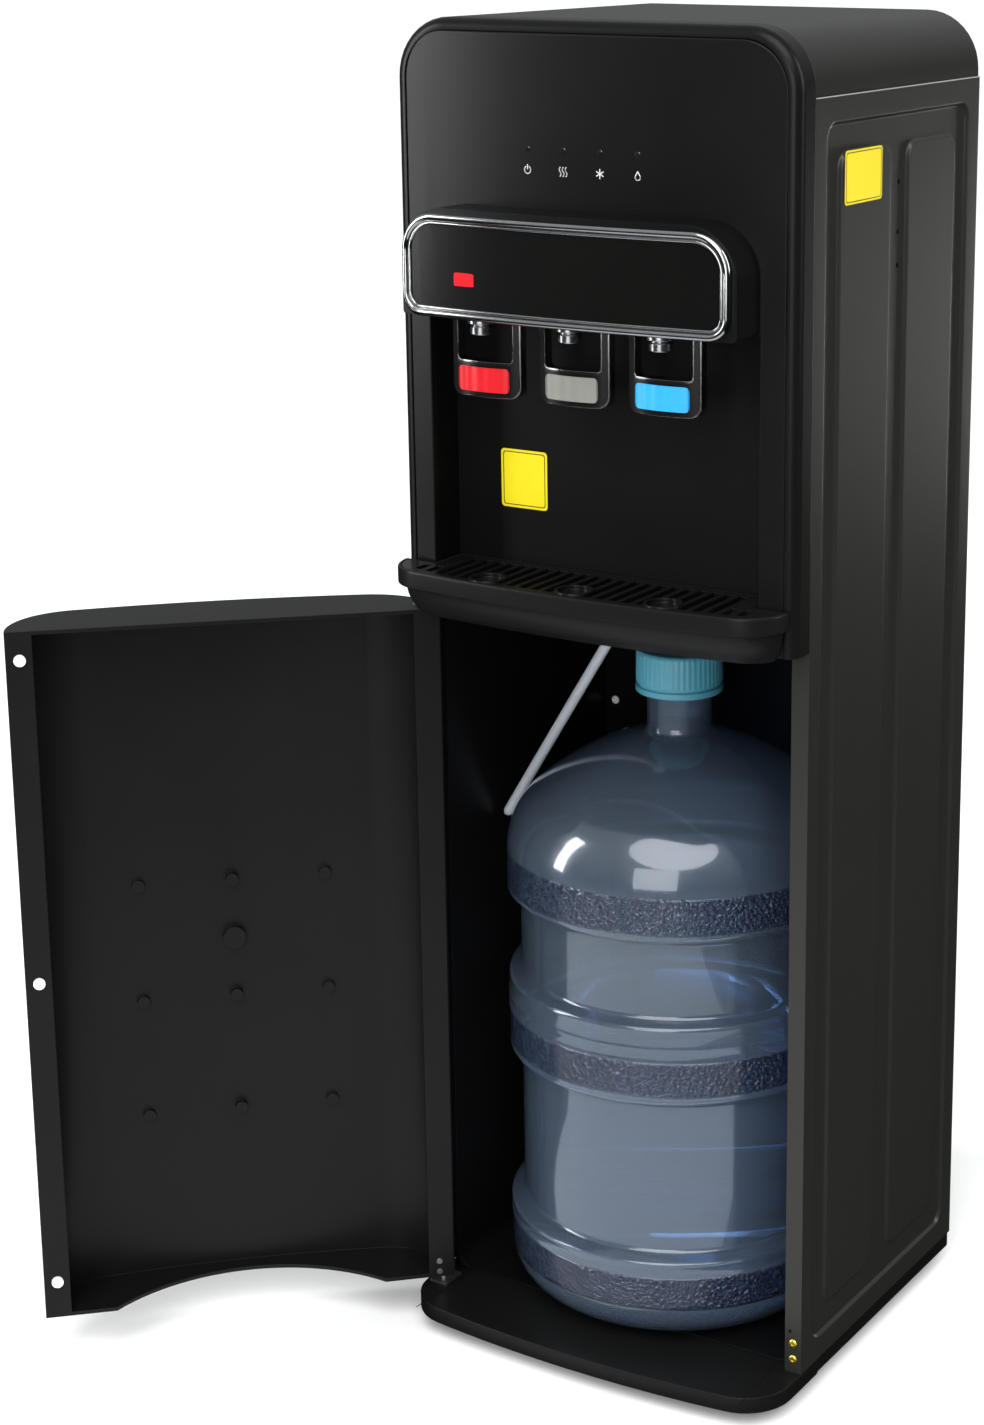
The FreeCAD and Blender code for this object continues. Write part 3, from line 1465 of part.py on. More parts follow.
def make_rocker(label, side):
    """A rocker key with a shallow V front, on the frame's pin."""
    body = new_body(label)
    half, tall = s.switch_width / 2 - s.slip, s.switch_tall / 2 - s.switch_wall / 2
    wall = s.switch_wall
    pad(body, "YZ", -half, half * 2, [[
        (-wall * 2, -tall), (wall * 1.2, -tall), (wall, 0), (wall * 2.4, tall), (-wall * 2, tall * 0.8),
    ]])
    cut_through(body, "YZ", circles=[(0, 0, s.switch_pin + s.pivot_clearance)])
    return place(body, side * s.switch_spacing / 2, back_face, s.switch_level)


# ---------------------------------------------------------------- screws

def make_cabinet_screws():
    """Pan head screws: two in each jamb by the base, six in the back and one in the compartment."""
    body = new_body("cabinet_screws")
    jamb = half_width - s.flange_width / 2
    low = base_top + s.flange_width * 0.8
    front = [(x, z, s.screw_radius) for x in (-jamb, jamb) for z in (low, low + s.flange_width)]
    rod(body, "XZ", -front_edge, s.screw_head, front)
    high = cover_bottom - s.flange_width
    rear = [(x, z, s.screw_radius) for x in (-jamb, jamb) for z in (low, (low + high) / 2, high)]
    rod(body, "XZ", -(back_face + s.screw_head), s.screw_head, rear)
    inner = s.liner_half - s.liner_corner + s.bead_width
    rod(body, "XZ", -s.liner_back, s.screw_head, [(-inner, s.neck_low - s.tube_line, s.screw_radius)])
    return body


def make_door_screws():
    """Two small screws at the foot of the door's hinge side."""
    body = new_body("door_screws")
    level = s.door_bottom + s.bumper_radius
    spots = [(s.bumper_radius, z, s.screw_radius * 0.8) for z in (level, level + s.bumper_radius * 2)]
    rod(body, "XZ", s.door_plane - s.hinge_forward - s.screw_head, s.screw_head, spots)
    return hang(body)


# ---------------------------------------------------------------- the whole

PIECES = [
    make_base(),
    make_feet(),
    make_side_panel("side_panel_left", -1),
    make_side_panel("side_panel_right", 1),
    make_rear_panel(),
    make_top_cover(),
    make_front_frame(),
    make_fascia(),
    make_niche(),
    make_apron(),
    make_tray(),
    make_grille(),
    make_hood(),
    make_hood_plate(),
    make_bezel(),
    make_lock_button(),
    make_lamps(),
    make_indicator_board(),
    make_door(),
    make_bumpers(),
    make_door_screws(),
    make_hinge("hinge_lower", base_top, base_top, s.door_bottom + s.hinge_boss_height - s.hinge_pin_short),
    make_hinge("hinge_upper", s.front_bottom - s.hinge_plate,
               s.door_top - s.hinge_boss_height + s.hinge_pin_short, s.front_bottom),
    make_liner(),
    make_deck(),
    make_bottle(),
    make_water(),
    make_cap(),
    make_dip_tube(),
    make_grommet(),
    make_tank_shelf(),
    make_tank("hot_tank", -s.tap_spacing, s.hot_radius, s.hot_height, False),
    make_tank("cold_tank", s.tap_spacing, s.cold_radius, s.cold_height, True),
    make_pump(),
    tank_hose("hot_hose", -s.tap_spacing, s.hot_height),
    tank_hose("cold_hose", s.tap_spacing, s.cold_height),
    make_hose("room_hose", 0, [
        (-s.tap_tail_end, s.pivot_height), (s.hose_drop * 0.8 - s.tap_tail_end, s.pivot_height),
        (s.hose_drop * 0.8 - s.tap_tail_end, pump_level), (s.pump_front, pump_level),
    ], s.hose_radius, s.hose_bore),
    make_hose("suction_hose", tube_top_x, [
        (s.pump_front, pump_level), (-s.tube_line, pump_level),
        (-s.tube_line, deck_top - s.grommet_hang + s.grommet_height),
    ], s.hose_radius, s.hose_bore),
    make_cooling_module(),
    make_fan_housing(),
    make_fan_rotor(),
    make_drain_spout(),
    make_drain_cap(),
    make_gland(),
    make_switch_frame(),
    make_rocker("rocker_hot", -1),
    make_rocker("rocker_cold", 1),
    make_cabinet_screws(),
]
for name, number in TAPS.items():
    PIECES += [make_tap(name, number), make_nozzle(name, number)]
    PIECES += [make_paddle(name, number), make_insert(name, number)]

doc.recompute()

os.makedirs("parts", exist_ok=True)
faults = [f"{item.Label} did not compute: {item.State}" for item in doc.Objects
          if "Invalid" in item.State or "Error" in item.State]
for piece in PIECES:
    shape = piece.Shape
    if shape.isNull() or not shape.isValid() or not shape.Solids:
        faults.append(f"{piece.Label} has no valid solid")
        continue
    box = shape.BoundBox
    print(f"{piece.Label}: {len(shape.Solids)} solid, {len(shape.Faces)} faces, volume {shape.Volume / 1000:.1f} ml, "
          f"x {box.XMin:.1f} {box.XMax:.1f}, y {box.YMin:.1f} {box.YMax:.1f}, z {box.ZMin:.1f} {box.ZMax:.1f}")
    shape.exportStep(f"parts/{piece.Label}.step")
if faults:
    raise RuntimeError("; ".join(faults))
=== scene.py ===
import math

import bmesh
import bpy
from mathutils import Matrix, Vector


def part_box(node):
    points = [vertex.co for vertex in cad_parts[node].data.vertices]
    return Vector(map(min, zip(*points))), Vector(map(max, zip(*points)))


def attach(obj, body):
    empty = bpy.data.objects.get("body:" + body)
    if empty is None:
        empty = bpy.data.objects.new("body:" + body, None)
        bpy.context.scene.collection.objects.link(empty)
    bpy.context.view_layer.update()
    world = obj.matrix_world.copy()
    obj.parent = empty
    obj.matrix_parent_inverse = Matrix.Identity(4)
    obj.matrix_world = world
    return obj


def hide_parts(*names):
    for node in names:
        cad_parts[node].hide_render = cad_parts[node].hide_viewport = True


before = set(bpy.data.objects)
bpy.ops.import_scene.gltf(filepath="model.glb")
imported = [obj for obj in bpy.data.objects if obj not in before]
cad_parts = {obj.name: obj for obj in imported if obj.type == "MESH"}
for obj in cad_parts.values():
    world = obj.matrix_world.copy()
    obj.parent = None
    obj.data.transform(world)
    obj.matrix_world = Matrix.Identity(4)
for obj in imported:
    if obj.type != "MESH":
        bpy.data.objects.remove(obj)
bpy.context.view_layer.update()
scene = bpy.context.scene


# -------------------- studio and camera
# A pale seamless floor runs out behind the cooler. A wide soft sun stands for the big softbox over
# the set, upright softboxes draw the long highlights, and a white card on the floor lights the bottle.

def linear(code):
    """A sRGB hex colour as linear light."""
    parts = [int(code[n:n + 2], 16) / 255 for n in (1, 3, 5)]
    return [p / 12.92 if p <= 0.04045 else ((p + 0.055) / 1.055) ** 2.4 for p in parts] + [1]


def add_node(tree, kind, inputs=None, **properties):
    """Adds a shader node with its properties, and sets or links its inputs by name or number."""
    node = tree.nodes.new(f"ShaderNode{kind}")
    for name, value in properties.items():
        setattr(node, name, value)
    for name, value in (inputs or {}).items():
        if isinstance(value, bpy.types.NodeSocket):
            tree.links.new(value, node.inputs[name])
        else:
            node.inputs[name].default_value = value
    return node


def new_finish(name, colour, roughness, **sockets):
    """A new material with its shader's plain sockets set; returns it with its tree, its shader and
    the place on the object."""
    material = bpy.data.materials.new(name)
    material.use_nodes = True
    tree = material.node_tree
    shader = tree.nodes["Principled BSDF"]
    shader.inputs["Base Color"].default_value = linear(colour)
    shader.inputs["Roughness"].default_value = roughness
    for socket, value in sockets.items():
        shader.inputs[socket.replace("_", " ")].default_value = value
    return material, tree, shader, add_node(tree, "TexCoord").outputs["Object"]


def two_tones(tree, shader, share, colour, other):
    """Mixes the base colour from two tones by a share."""
    tone = add_node(tree, "Mix", {0: share, 6: linear(colour), 7: linear(other)}, data_type="RGBA")
    tree.links.new(tone.outputs[2], shader.inputs["Base Color"])


def clouds(tree, place, size, **sockets):
    """Soft noise with clouds of about a size in mm."""
    return add_node(tree, "TexNoise", {"Vector": place, "Scale": 1000 / size, **sockets}).outputs["Fac"]


def mottle(tree, shader, place, colour, other, size, **sockets):
    """Lets the colour drift between two close tones over size mm, and returns the drift."""
    drift = clouds(tree, place, size, **sockets)
    two_tones(tree, shader, drift, colour, other)
    return drift


# Photographer's paper: matt, nearly white, with the faint clouds of an evenly lit sweep.
sweep_paper, tree, shader, place = new_finish("sweep_paper_white", "#fafaf9", 0.9)
mottle(tree, shader, place, "#f8f8f7", "#fdfdfc", 2500)

FLOOR_RADIUS = 90   # m, so far out that its edge is never in the picture
floor_mesh = bmesh.new()
bmesh.ops.create_circle(floor_mesh, cap_ends=True, segments=96, radius=FLOOR_RADIUS)
floor_data = bpy.data.meshes.new("studio_floor")
floor_mesh.to_mesh(floor_data)
floor_data.materials.append(sweep_paper)
studio_floor = bpy.data.objects.new("studio_floor", floor_data)
scene.collection.objects.link(studio_floor)
studio_floor.visible_glossy = False   # so that the black plastic mirrors the dark low half of the room

# The pieces are drawn in mm from the foot of the bottle's axis, which is the middle of the bottle's box.
bottle_low, bottle_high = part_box("bottle")
AXIS = Vector((bottle_low.x + bottle_high.x, bottle_low.y + bottle_high.y, 0)) * 500

world = bpy.data.worlds.new("studio_air")
world.use_nodes = True
room = world.node_tree
way = add_node(room, "SeparateXYZ", {0: add_node(room, "TexCoord").outputs["Generated"]}).outputs["Z"]
height = add_node(room, "MapRange", {"Value": way, "From Min": -0.1, "From Max": 0.5}).outputs["Result"]
air = add_node(room, "Mix", {0: height, 6: linear("#1c1d1e"), 7: linear("#f0f2f4")}, data_type="RGBA").outputs[2]
room.links.new(air, room.nodes["Background"].inputs["Color"])
room.nodes["Background"].inputs["Strength"].default_value = 0.6
scene.world = world
scene.view_settings.view_transform = "Standard"


def aim(lamp, place, target):
    """Stands a lamp at a place and points it at a target, both in m from the bottle's foot."""
    lamp.location = Vector(place) + AXIS / 1000
    lamp.rotation_euler = (Vector(target) - Vector(place)).to_track_quat("-Z", "Y").to_euler()


def softbox(name, place, target, width, height, power):
    """A rectangular softbox in m and W that the camera doesn't see."""
    data = bpy.data.lights.new(name, "AREA")
    data.shape = "RECTANGLE"
    data.size, data.size_y = width, height
    data.energy = power
    lamp = bpy.data.objects.new(name, data)
    lamp.visible_camera = False
    scene.collection.objects.link(lamp)
    aim(lamp, place, target)


sun_data = bpy.data.lights.new("overhead_soft", "SUN")
sun_data.energy = 2.7
sun_data.angle = math.radians(50)
overhead = bpy.data.objects.new("overhead_soft", sun_data)
scene.collection.objects.link(overhead)
aim(overhead, (1.2, -2.6, 4.2), (0, 0, 0.5))
softbox("left_strip", (-2.6, -1.9, 1.5), (0, 0, 0.6), 0.6, 2.4, 70)
softbox("right_strip", (2.8, 0.9, 1.9), (0.2, 0, 0.6), 0.5, 2.6, 40)
softbox("front_fill", (0.9, -3.4, 1.2), (0, 0, 0.4), 1.8, 1.8, 45)
softbox("rear_strip", (0.5, 3.0, 0.35), (0.17, 0, 0.5), 0.3, 0.7, 9)
softbox("floor_card", (-0.05, -0.78, 0.01), (-0.05, -0.78, 1), 1.5, 1.2, 5.6)

# The lens and the place it stands come from the cabinet's own square edges in the photograph.
IMAGE_WIDTH, IMAGE_HEIGHT = 984, 1425
FOCAL_PIXELS = 2744.66
AXIS_ACROSS, AXIS_DOWN = 679.3, 588.3         # where the lens's axis meets the picture, in pixels
CAMERA_PLACE = (1.03727, -1.78128, 1.12675)   # m from the foot of the bottle's axis
LOOKS_DOWN, LOOKS_LEFT = 14.227, 30.218       # degrees
camera_data = bpy.data.cameras.new("photo_camera")
camera_data.sensor_fit = "VERTICAL"
camera_data.sensor_height = 36
camera_data.lens = FOCAL_PIXELS * camera_data.sensor_height / IMAGE_HEIGHT
camera_data.shift_x = (IMAGE_WIDTH / 2 - AXIS_ACROSS) / IMAGE_HEIGHT
camera_data.shift_y = (AXIS_DOWN - IMAGE_HEIGHT / 2) / IMAGE_HEIGHT
camera_data.clip_end = 200
photo_camera = bpy.data.objects.new("photo_camera", camera_data)
photo_camera.location = Vector(CAMERA_PLACE) + AXIS / 1000
photo_camera.rotation_euler = (math.radians(90 - LOOKS_DOWN), 0, math.radians(LOOKS_LEFT))
scene.collection.objects.link(photo_camera)
scene.camera = photo_camera


# -------------------- base plate and feet
# The base is one injection moulding in black ABS whose bowed lip reaches out in front of the door
# opening. Four rubber feet are pressed into it from below.

def emboss(tree, shader, height, depth, edge=0):
    """Raises the surface by a height value over depth mm, on edges rounded by edge mm."""
    inputs = {"Height": height, "Distance": depth / 1000}
    if edge:
        inputs["Normal"] = add_node(tree, "Bevel", {"Radius": edge / 1000}, samples=4).outputs["Normal"]
    tree.links.new(add_node(tree, "Bump", inputs).outputs["Normal"], shader.inputs["Normal"])


def vary_shine(tree, shader, share, smooth, rough):
    """Lets the roughness vary between two values by a share."""
    shine = add_node(tree, "MapRange", {"Value": share, "To Min": smooth, "To Max": rough})
    tree.links.new(shine.outputs["Result"], shader.inputs["Roughness"])


def moulded(name, colour, lighter, roughness, grain, relief, edge=0.7, **sockets):
    """Moulded plastic. The tone drifts between two close colours over a hand's width, and a
    spark-eroded grain of the given size and relief, in mm, breaks the shine. Edges are rounded."""
    material, tree, shader, place = new_finish(name, colour, roughness, **sockets)
    drift = mottle(tree, shader, place, colour, lighter, 90, Detail=3)
    vary_shine(tree, shader, drift, roughness * 0.9, roughness * 1.12)
    emboss(tree, shader, clouds(tree, place, grain, Detail=2), relief, edge)
    return material


def dress(material, *names):
    """Gives CAD nodes their finish."""
    for name in names:
        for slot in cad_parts[name].material_slots:
            slot.material = material


def box_mm(node):
    """The low and high corner of a CAD node's box in mm from the foot of the bottle's axis."""
    low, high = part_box(node)
    return low * 1000 - AXIS, high * 1000 - AXIS


def trace(points, closed=True):
    """The loop or path through points, with its arcs in small steps.

    A point is (x, y), or (x, y, radius) where an arc leads to it: a positive radius turns left on
    the way there and a negative one turns right. Corners take 10 steps and long bows 28.
    """
    path = []
    for here, there in zip(points, points[1:] + points[:1] if closed else points[1:]):
        path.append(here[:2])
        if len(there) == 2:
            continue
        run = Vector(there[:2]) - Vector(here[:2])
        radius = max(abs(there[2]), run.length / 2)
        side = math.copysign(1, there[2])
        off = math.sqrt(radius * radius - run.length_squared / 4)
        across = Vector((-run.y, run.x)).normalized() * side
        centre = Vector(here[:2]) + run / 2 + across * off
        start = math.atan2(here[1] - centre.y, here[0] - centre.x)
        sweep = side * 2 * math.asin(run.length / 2 / radius)
        steps = 28 if radius > 500 else 10
        for n in range(1, steps):
            angle = start + sweep * n / steps
            path.append((centre.x + radius * math.cos(angle), centre.y + radius * math.sin(angle)))
    return path if closed else path + [points[-1][:2]]


BOW = 1100   # radius of the bowed fronts, mm


def bowed_plan(half, front, back, corner):
    """A plan outline with straight sides, round corners and a bowed front at y = -front."""
    centre_x = half - corner
    centre_y = BOW - front - math.sqrt((BOW - corner) ** 2 - centre_x ** 2)
    share = BOW / (BOW - corner)
    touch_x = centre_x * share
    touch_y = BOW - front - (BOW - front - centre_y) * share
    left, right = (-touch_x, touch_y, corner), (touch_x, touch_y, BOW)
    if back < centre_y:
        side = centre_x + math.sqrt(corner ** 2 - (centre_y - back) ** 2)
        return [(-side, back), left, right, (side, back, corner)]
    return [(-half, back), (-half, centre_y), left, right, (half, centre_y, corner), (half, back)]


def skin(mesh, loops, first=True, last=True):
    """Faces between loops that have the same number of points, with the end loops filled."""
    rows = [[mesh.verts.new(point) for point in loop] for loop in loops]
    for low, high in zip(rows, rows[1:]):
        for n in range(len(low)):
            m = (n + 1) % len(low)
            mesh.faces.new((low[n], low[m], high[m], high[n]))
    if first:
        mesh.faces.new(rows[0][::-1])
    if last:
        mesh.faces.new(rows[-1])


def in_plan(outline, z):
    """An (x, y) outline laid level at a height."""
    return [(x, y, z) for x, y in outline]


def new_piece(name, mesh, material, body, edge=0, sharp=35):
    """Makes the piece from its mesh in mm, with rounded or crisp edges, and hangs it on its body."""
    bmesh.ops.remove_doubles(mesh, verts=mesh.verts, dist=0.005)
    bmesh.ops.recalc_face_normals(mesh, faces=mesh.faces)
    mesh.transform(Matrix.Scale(0.001, 4) @ Matrix.Translation(AXIS))
    data = bpy.data.meshes.new(name)
    mesh.to_mesh(data)
    mesh.free()
    data.materials.append(material)
    data.shade_smooth()
    piece = bpy.data.objects.new(name, data)
    scene.collection.objects.link(piece)
    if edge:
        rounding = piece.modifiers.new("rounded_edges", "BEVEL")
        rounding.width = edge / 1000
        rounding.segments = 3
        rounding.limit_method = "ANGLE"
        rounding.angle_limit = math.radians(sharp)
    else:
        data.set_sharp_from_angle(angle=math.radians(sharp))
    even = piece.modifiers.new("even_shading", "WEIGHTED_NORMAL")
    even.keep_sharp = not edge
    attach(piece, body)
    return piece


# Black ABS, injection moulded with a fine satin grain: near black, with a soft wide shine. The real
# grain is about 0.1 mm, drawn at 1.4 mm because a finer one is lost in the render.
satin_abs = moulded("abs_black_satin_moulded", "#0d0d0d", "#111110", 0.36, 1.4, 0.02, Specular_IOR_Level=0.16)

low, high = box_mm("base_plate")
LIP_SIDE = 28      # depth of the lip's straight sides beside the cabinet
LIP_CORNER = 40
SIDE_INSET = 1.2   # the base stands in under the sides by this much
lip_end = box_mm("side_panel_right")[0].y + LIP_SIDE
inside = high.x - SIDE_INSET
outline = bowed_plan(high.x, -low.y, lip_end, LIP_CORNER)
outline += [(inside, lip_end), (inside, high.y), (-inside, high.y), (-inside, lip_end)]
mesh = bmesh.new()
skin(mesh, [in_plan(trace(outline), z) for z in (low.z, high.z)])
base = new_piece("base_moulding", mesh, satin_abs, "cabinet", edge=2)
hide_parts("base_plate")

# Black nitrile rubber, pressed: dull and a little dusty, so it takes almost no shine.
rubber = moulded("rubber_black_pressed", "#121212", "#1b1b1a", 0.75, 1.2, 0.03, Specular_IOR_Level=0.3)
dress(rubber, "feet")


# -------------------- side panels
# Each side is one sheet of steel, folded at its edges and pressed with a sunk field and two long
# raised panels for stiffness. It is powder coated black in a fine satin.

def painted_steel(name, colour, lighter, roughness):
    """Powder coat on sheet steel: an orange peel about 2 mm across that softens the reflections."""
    material, tree, shader, place = new_finish(name, colour, roughness, Specular_IOR_Level=0.35)
    mottle(tree, shader, place, colour, lighter, 160, Detail=4)
    emboss(tree, shader, clouds(tree, place, 2.2, Detail=1), 0.02, 0.6)
    return material


def round_box(left, bottom, right, top, corner, top_corner=None):
    """The points of a rectangle with rounded corners."""
    upper = corner if top_corner is None else top_corner
    return [(left, bottom + corner), (left + corner, bottom, corner),
            (right - corner, bottom), (right, bottom + corner, corner),
            (right, top - upper), (right - upper, top, upper),
            (left + upper, top), (left, top - upper, upper)]


def fill_between(mesh, loops):
    """A flat face inside the first loop with the other loops as its holes."""
    edges = []
    for loop in loops:
        row = [mesh.verts.new(point) for point in loop]
        edges += [mesh.edges.new((a, b)) for a, b in zip(row, row[1:] + row[:1])]
    bmesh.ops.triangle_fill(mesh, use_beauty=True, use_dissolve=False, edges=edges)


# Powder coated steel: a warm charcoal black, satin, that lightens towards a low angle.
side_paint = painted_steel("steel_black_powder_coated", "#1f1f1d", "#222220", 0.3)

FIELD_MARGIN = 17   # from the sheet's edge to the stepped field
PANEL_MARGIN = 21   # from the field's edge to a long panel
PANEL_GAP = 24      # between the two long panels
PRESS_CORNER = 14
PRESS_DEPTH = 2.6
PRESS_RISE = 2.2    # the long panels stand up again from the field by this much
PRESS_SLOPE = 4     # width of a pressed step, which a die always leaves rounded
SKIN_INSET = 0.15   # the sheet's face stands in from the CAD box by this much


def pressed_step(mesh, at, depth, rectangle):
    """The rounded wall of one pressed step round a rectangle, sunk from at to at - depth."""
    loops = []
    for n in range(7):
        share = n / 6
        inset, sunk = PRESS_SLOPE * share, depth * (1 - math.cos(math.pi * share)) / 2
        left, bottom, right, top = rectangle
        loop = trace(round_box(left + inset, bottom + inset, right - inset, top - inset,
                               PRESS_CORNER - inset))
        loops.append([(at - sunk, y, z) for y, z in loop])
    skin(mesh, loops, first=False, last=False)
    return loops[0], loops[-1]


def side_panel(name, side):
    """One pressed side sheet with its front and rear flange; side is -1 on the left."""
    low, high = box_mm(name)
    mesh = bmesh.new()
    sheet = [(low.y, low.z), (high.y, low.z), (high.y, high.z), (low.y, high.z)]
    field = (low.y + FIELD_MARGIN, low.z + FIELD_MARGIN, high.y - FIELD_MARGIN, high.z - FIELD_MARGIN)
    middle = (low.y + high.y) / 2
    front = (field[0] + PANEL_MARGIN, field[1] + PANEL_MARGIN,
             middle - PANEL_GAP / 2, field[3] - PANEL_MARGIN)
    rear = (middle + PANEL_GAP / 2, front[1], field[2] - PANEL_MARGIN, front[3])
    skin_face = max(abs(low.x), abs(high.x)) - SKIN_INSET
    rim, floor = pressed_step(mesh, skin_face, PRESS_DEPTH, field)
    fill_between(mesh, [[(skin_face, y, z) for y, z in sheet], rim])
    holes = []
    for panel in (front, rear):
        brim, top = pressed_step(mesh, skin_face - PRESS_DEPTH, -PRESS_RISE, panel)
        holes.append(brim)
        mesh.faces.new([mesh.verts.new(point) for point in top])
    fill_between(mesh, [floor] + holes)
    flange = skin_face - (high.x - low.x)
    for y in (low.y, high.y):
        corners = [(skin_face, y, low.z), (skin_face, y, high.z), (flange, y, high.z), (flange, y, low.z)]
        mesh.faces.new([mesh.verts.new(point) for point in corners])
    for vert in mesh.verts:
        vert.co.x *= side
    piece = new_piece(name.replace("panel", "pressing"), mesh, side_paint, "cabinet")
    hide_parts(name)


side_panel("side_panel_left", -1)
side_panel("side_panel_right", 1)

# The fold along the top of each sheet is drawn as a light grey strip: a painted highlight, the thin bright line
# that the rounded edge shows under the cover.
fold_highlight_paint = painted_steel("steel_fold_painted_highlight", "#8b8b87", "#989894", 0.4)
FOLD_WIDTH, FOLD_LIFT, FOLD_DROP = 1.5, 0.3, 0.5
low, high = box_mm("side_panel_right")
fold = [(high.x - FOLD_WIDTH, high.z + FOLD_LIFT), (high.x - 0.25, high.z + FOLD_LIFT), (high.x, high.z),
        (high.x, high.z - FOLD_DROP), (high.x - FOLD_WIDTH, high.z - FOLD_DROP)]
for side, hand in ((-1, "left"), (1, "right")):
    mesh = bmesh.new()
    skin(mesh, [[(side * x, y, z) for x, z in fold] for y in (low.y + 0.5, high.y)])
    new_piece(f"side_fold_painted_highlight_{hand}", mesh, fold_highlight_paint, "cabinet")


# -------------------- back panel and top cover
# The back is flat coated sheet with louvre slots and a wire guard over the fan. The top is a moulded
# cover with round shoulders, set on both sides, with a fine seam where it meets the front frame.

# Powder coated sheet again, a little duller than the sides because nobody sees it.
back_paint = painted_steel("steel_black_powder_dull", "#191918", "#1f1f1d", 0.55)
dress(back_paint, "rear_panel")

# Black ABS with a higher polish on the die: its shoulders take a long soft highlight.
cover_abs = moulded("abs_black_polished_cover", "#171715", "#1c1b19", 0.3, 1.6, 0.012, Specular_IOR_Level=0.3)

SHOULDER = 43.6     # radius of the round shoulders
SEAM = 0.8          # between the cover and the front frame
COVER_EDGE = 2.5
COVER_INSET = 0.9   # the cover's legs stand in from the sides' faces by this much


def arch_path(half, bottom, top, corner):
    """The outside of an arch from the foot of its left leg to the foot of its right one."""
    points = [(-half, bottom), (-half, top - corner), (-half + corner, top, -corner),
              (half - corner, top), (half, top - corner, -corner), (half, bottom)]
    return trace(points, closed=False)


low, high = box_mm("top_cover")
mesh = bmesh.new()
loops = []
for inset, y in ((COVER_EDGE, low.y + SEAM), (0.5, low.y + SEAM), (0, low.y + SEAM + 0.6),
                 (0, high.y - COVER_EDGE), (COVER_EDGE * 0.3, high.y - COVER_EDGE * 0.3),
                 (COVER_EDGE, high.y)):
    path = arch_path(high.x - COVER_INSET - inset, low.z, high.z - inset, SHOULDER - inset)
    loops.append([(x, y, z) for x, z in path])
skin(mesh, loops, first=False)
cover = new_piece("top_cover_moulding", mesh, cover_abs, "cabinet")
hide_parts("top_cover")


# -------------------- front frame, fascia and indicators
# The frame is an arched moulding with a rounded front edge. The bowed fascia plate stands inside it,
# open below for the cup niche, with four small lamps in a row.

# Black ABS, satin: the darkest of the front pieces, with a soft shine along the rounded frame.
front_abs = moulded("abs_black_satin_front", "#0b0b0b", "#0e0e0e", 0.32, 1.4, 0.015, Specular_IOR_Level=0.15)

low, high = box_mm("front_frame")
frame_wall = high.x - box_mm("fascia")[1].x
FRAME_ROUNDING = 8.5
frame_front, frame_back = low.y, high.y
profile = [(0.6, frame_back), (0, frame_back - 0.6), (0, frame_front + FRAME_ROUNDING)]
for n in range(1, 9):
    angle = math.radians(90 * n / 8)
    profile.append((FRAME_ROUNDING * (1 - math.cos(angle)), frame_front + FRAME_ROUNDING * (1 - math.sin(angle))))
profile += [(frame_wall, frame_front), (frame_wall, frame_back)]
rows = []
for inset, y in profile:
    path = arch_path(high.x - inset, low.z, high.z - inset, SHOULDER - inset)
    rows.append([(x, y, z) for x, z in path])
mesh = bmesh.new()
skin(mesh, [list(station) for station in zip(*rows)])
surround = new_piece("front_frame_moulding", mesh, front_abs, "cabinet")
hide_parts("front_frame")


def bow(x, radius=BOW):
    """How far a bowed front falls back at a distance x from its middle."""
    return radius - math.sqrt(radius * radius - x * x)


def bend_front(mesh, limit, spacing=10, radius=BOW, middle=0):
    """Slices the mesh upright and bows what stands in front of the limit."""
    reach = max(abs(vert.co.x - middle) for vert in mesh.verts)
    for n in range(-int(reach / spacing), int(reach / spacing) + 1):
        everything = mesh.verts[:] + mesh.edges[:] + mesh.faces[:]
        bmesh.ops.bisect_plane(mesh, geom=everything, dist=0.01, plane_co=(middle + n * spacing, 0, 0),
                               plane_no=(1, 0, 0))
    for vert in mesh.verts:
        if vert.co.y < limit:
            vert.co.y += bow(vert.co.x - middle, radius)


def in_front(outline, y):
    """An (x, z) outline stood up at a depth."""
    return [(x, y, z) for x, z in outline]


low, high = box_mm("fascia")
NICHE_HALF, NICHE_TOP = 139, 829   # the niche's opening in the plate
PLATE_GAP = 0.35                   # round the plate in its frame
half = high.x - PLATE_GAP
top = high.z - PLATE_GAP
corner = SHOULDER - frame_wall
outline = trace([
    (-half, low.z), (-NICHE_HALF, low.z), (-NICHE_HALF, NICHE_TOP), (NICHE_HALF, NICHE_TOP),
    (NICHE_HALF, low.z), (half, low.z), (half, top - corner), (half - corner, top, corner),
    (-half + corner, top), (-half, top - corner, corner),
])
fascia_front = low.y
FASCIA_RETURN = 16   # how far the plate's edges turn back into the frame
mesh = bmesh.new()
skin(mesh, [in_front(outline, y) for y in (fascia_front, fascia_front + FASCIA_RETURN)])
bend_front(mesh, fascia_front + 1)
plate = new_piece("fascia_moulding", mesh, front_abs, "cabinet", edge=1.4)
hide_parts("fascia")

# Clear acrylic lamp lenses over unlit diodes: small dark glossy dots with a dim reddish core.
lens, tree, shader, place = new_finish("acrylic_lens_unlit", "#15100f", 0.08,
                                       Coat_Weight=1.0, Coat_Roughness=0.03)
mottle(tree, shader, place, "#0b0808", "#241a19", 3)


def circle(radius, steps):
    """The points of a circle round the origin, as pairs."""
    return [(radius * math.cos(a), radius * math.sin(a)) for a in (math.tau * n / steps for n in range(steps))]


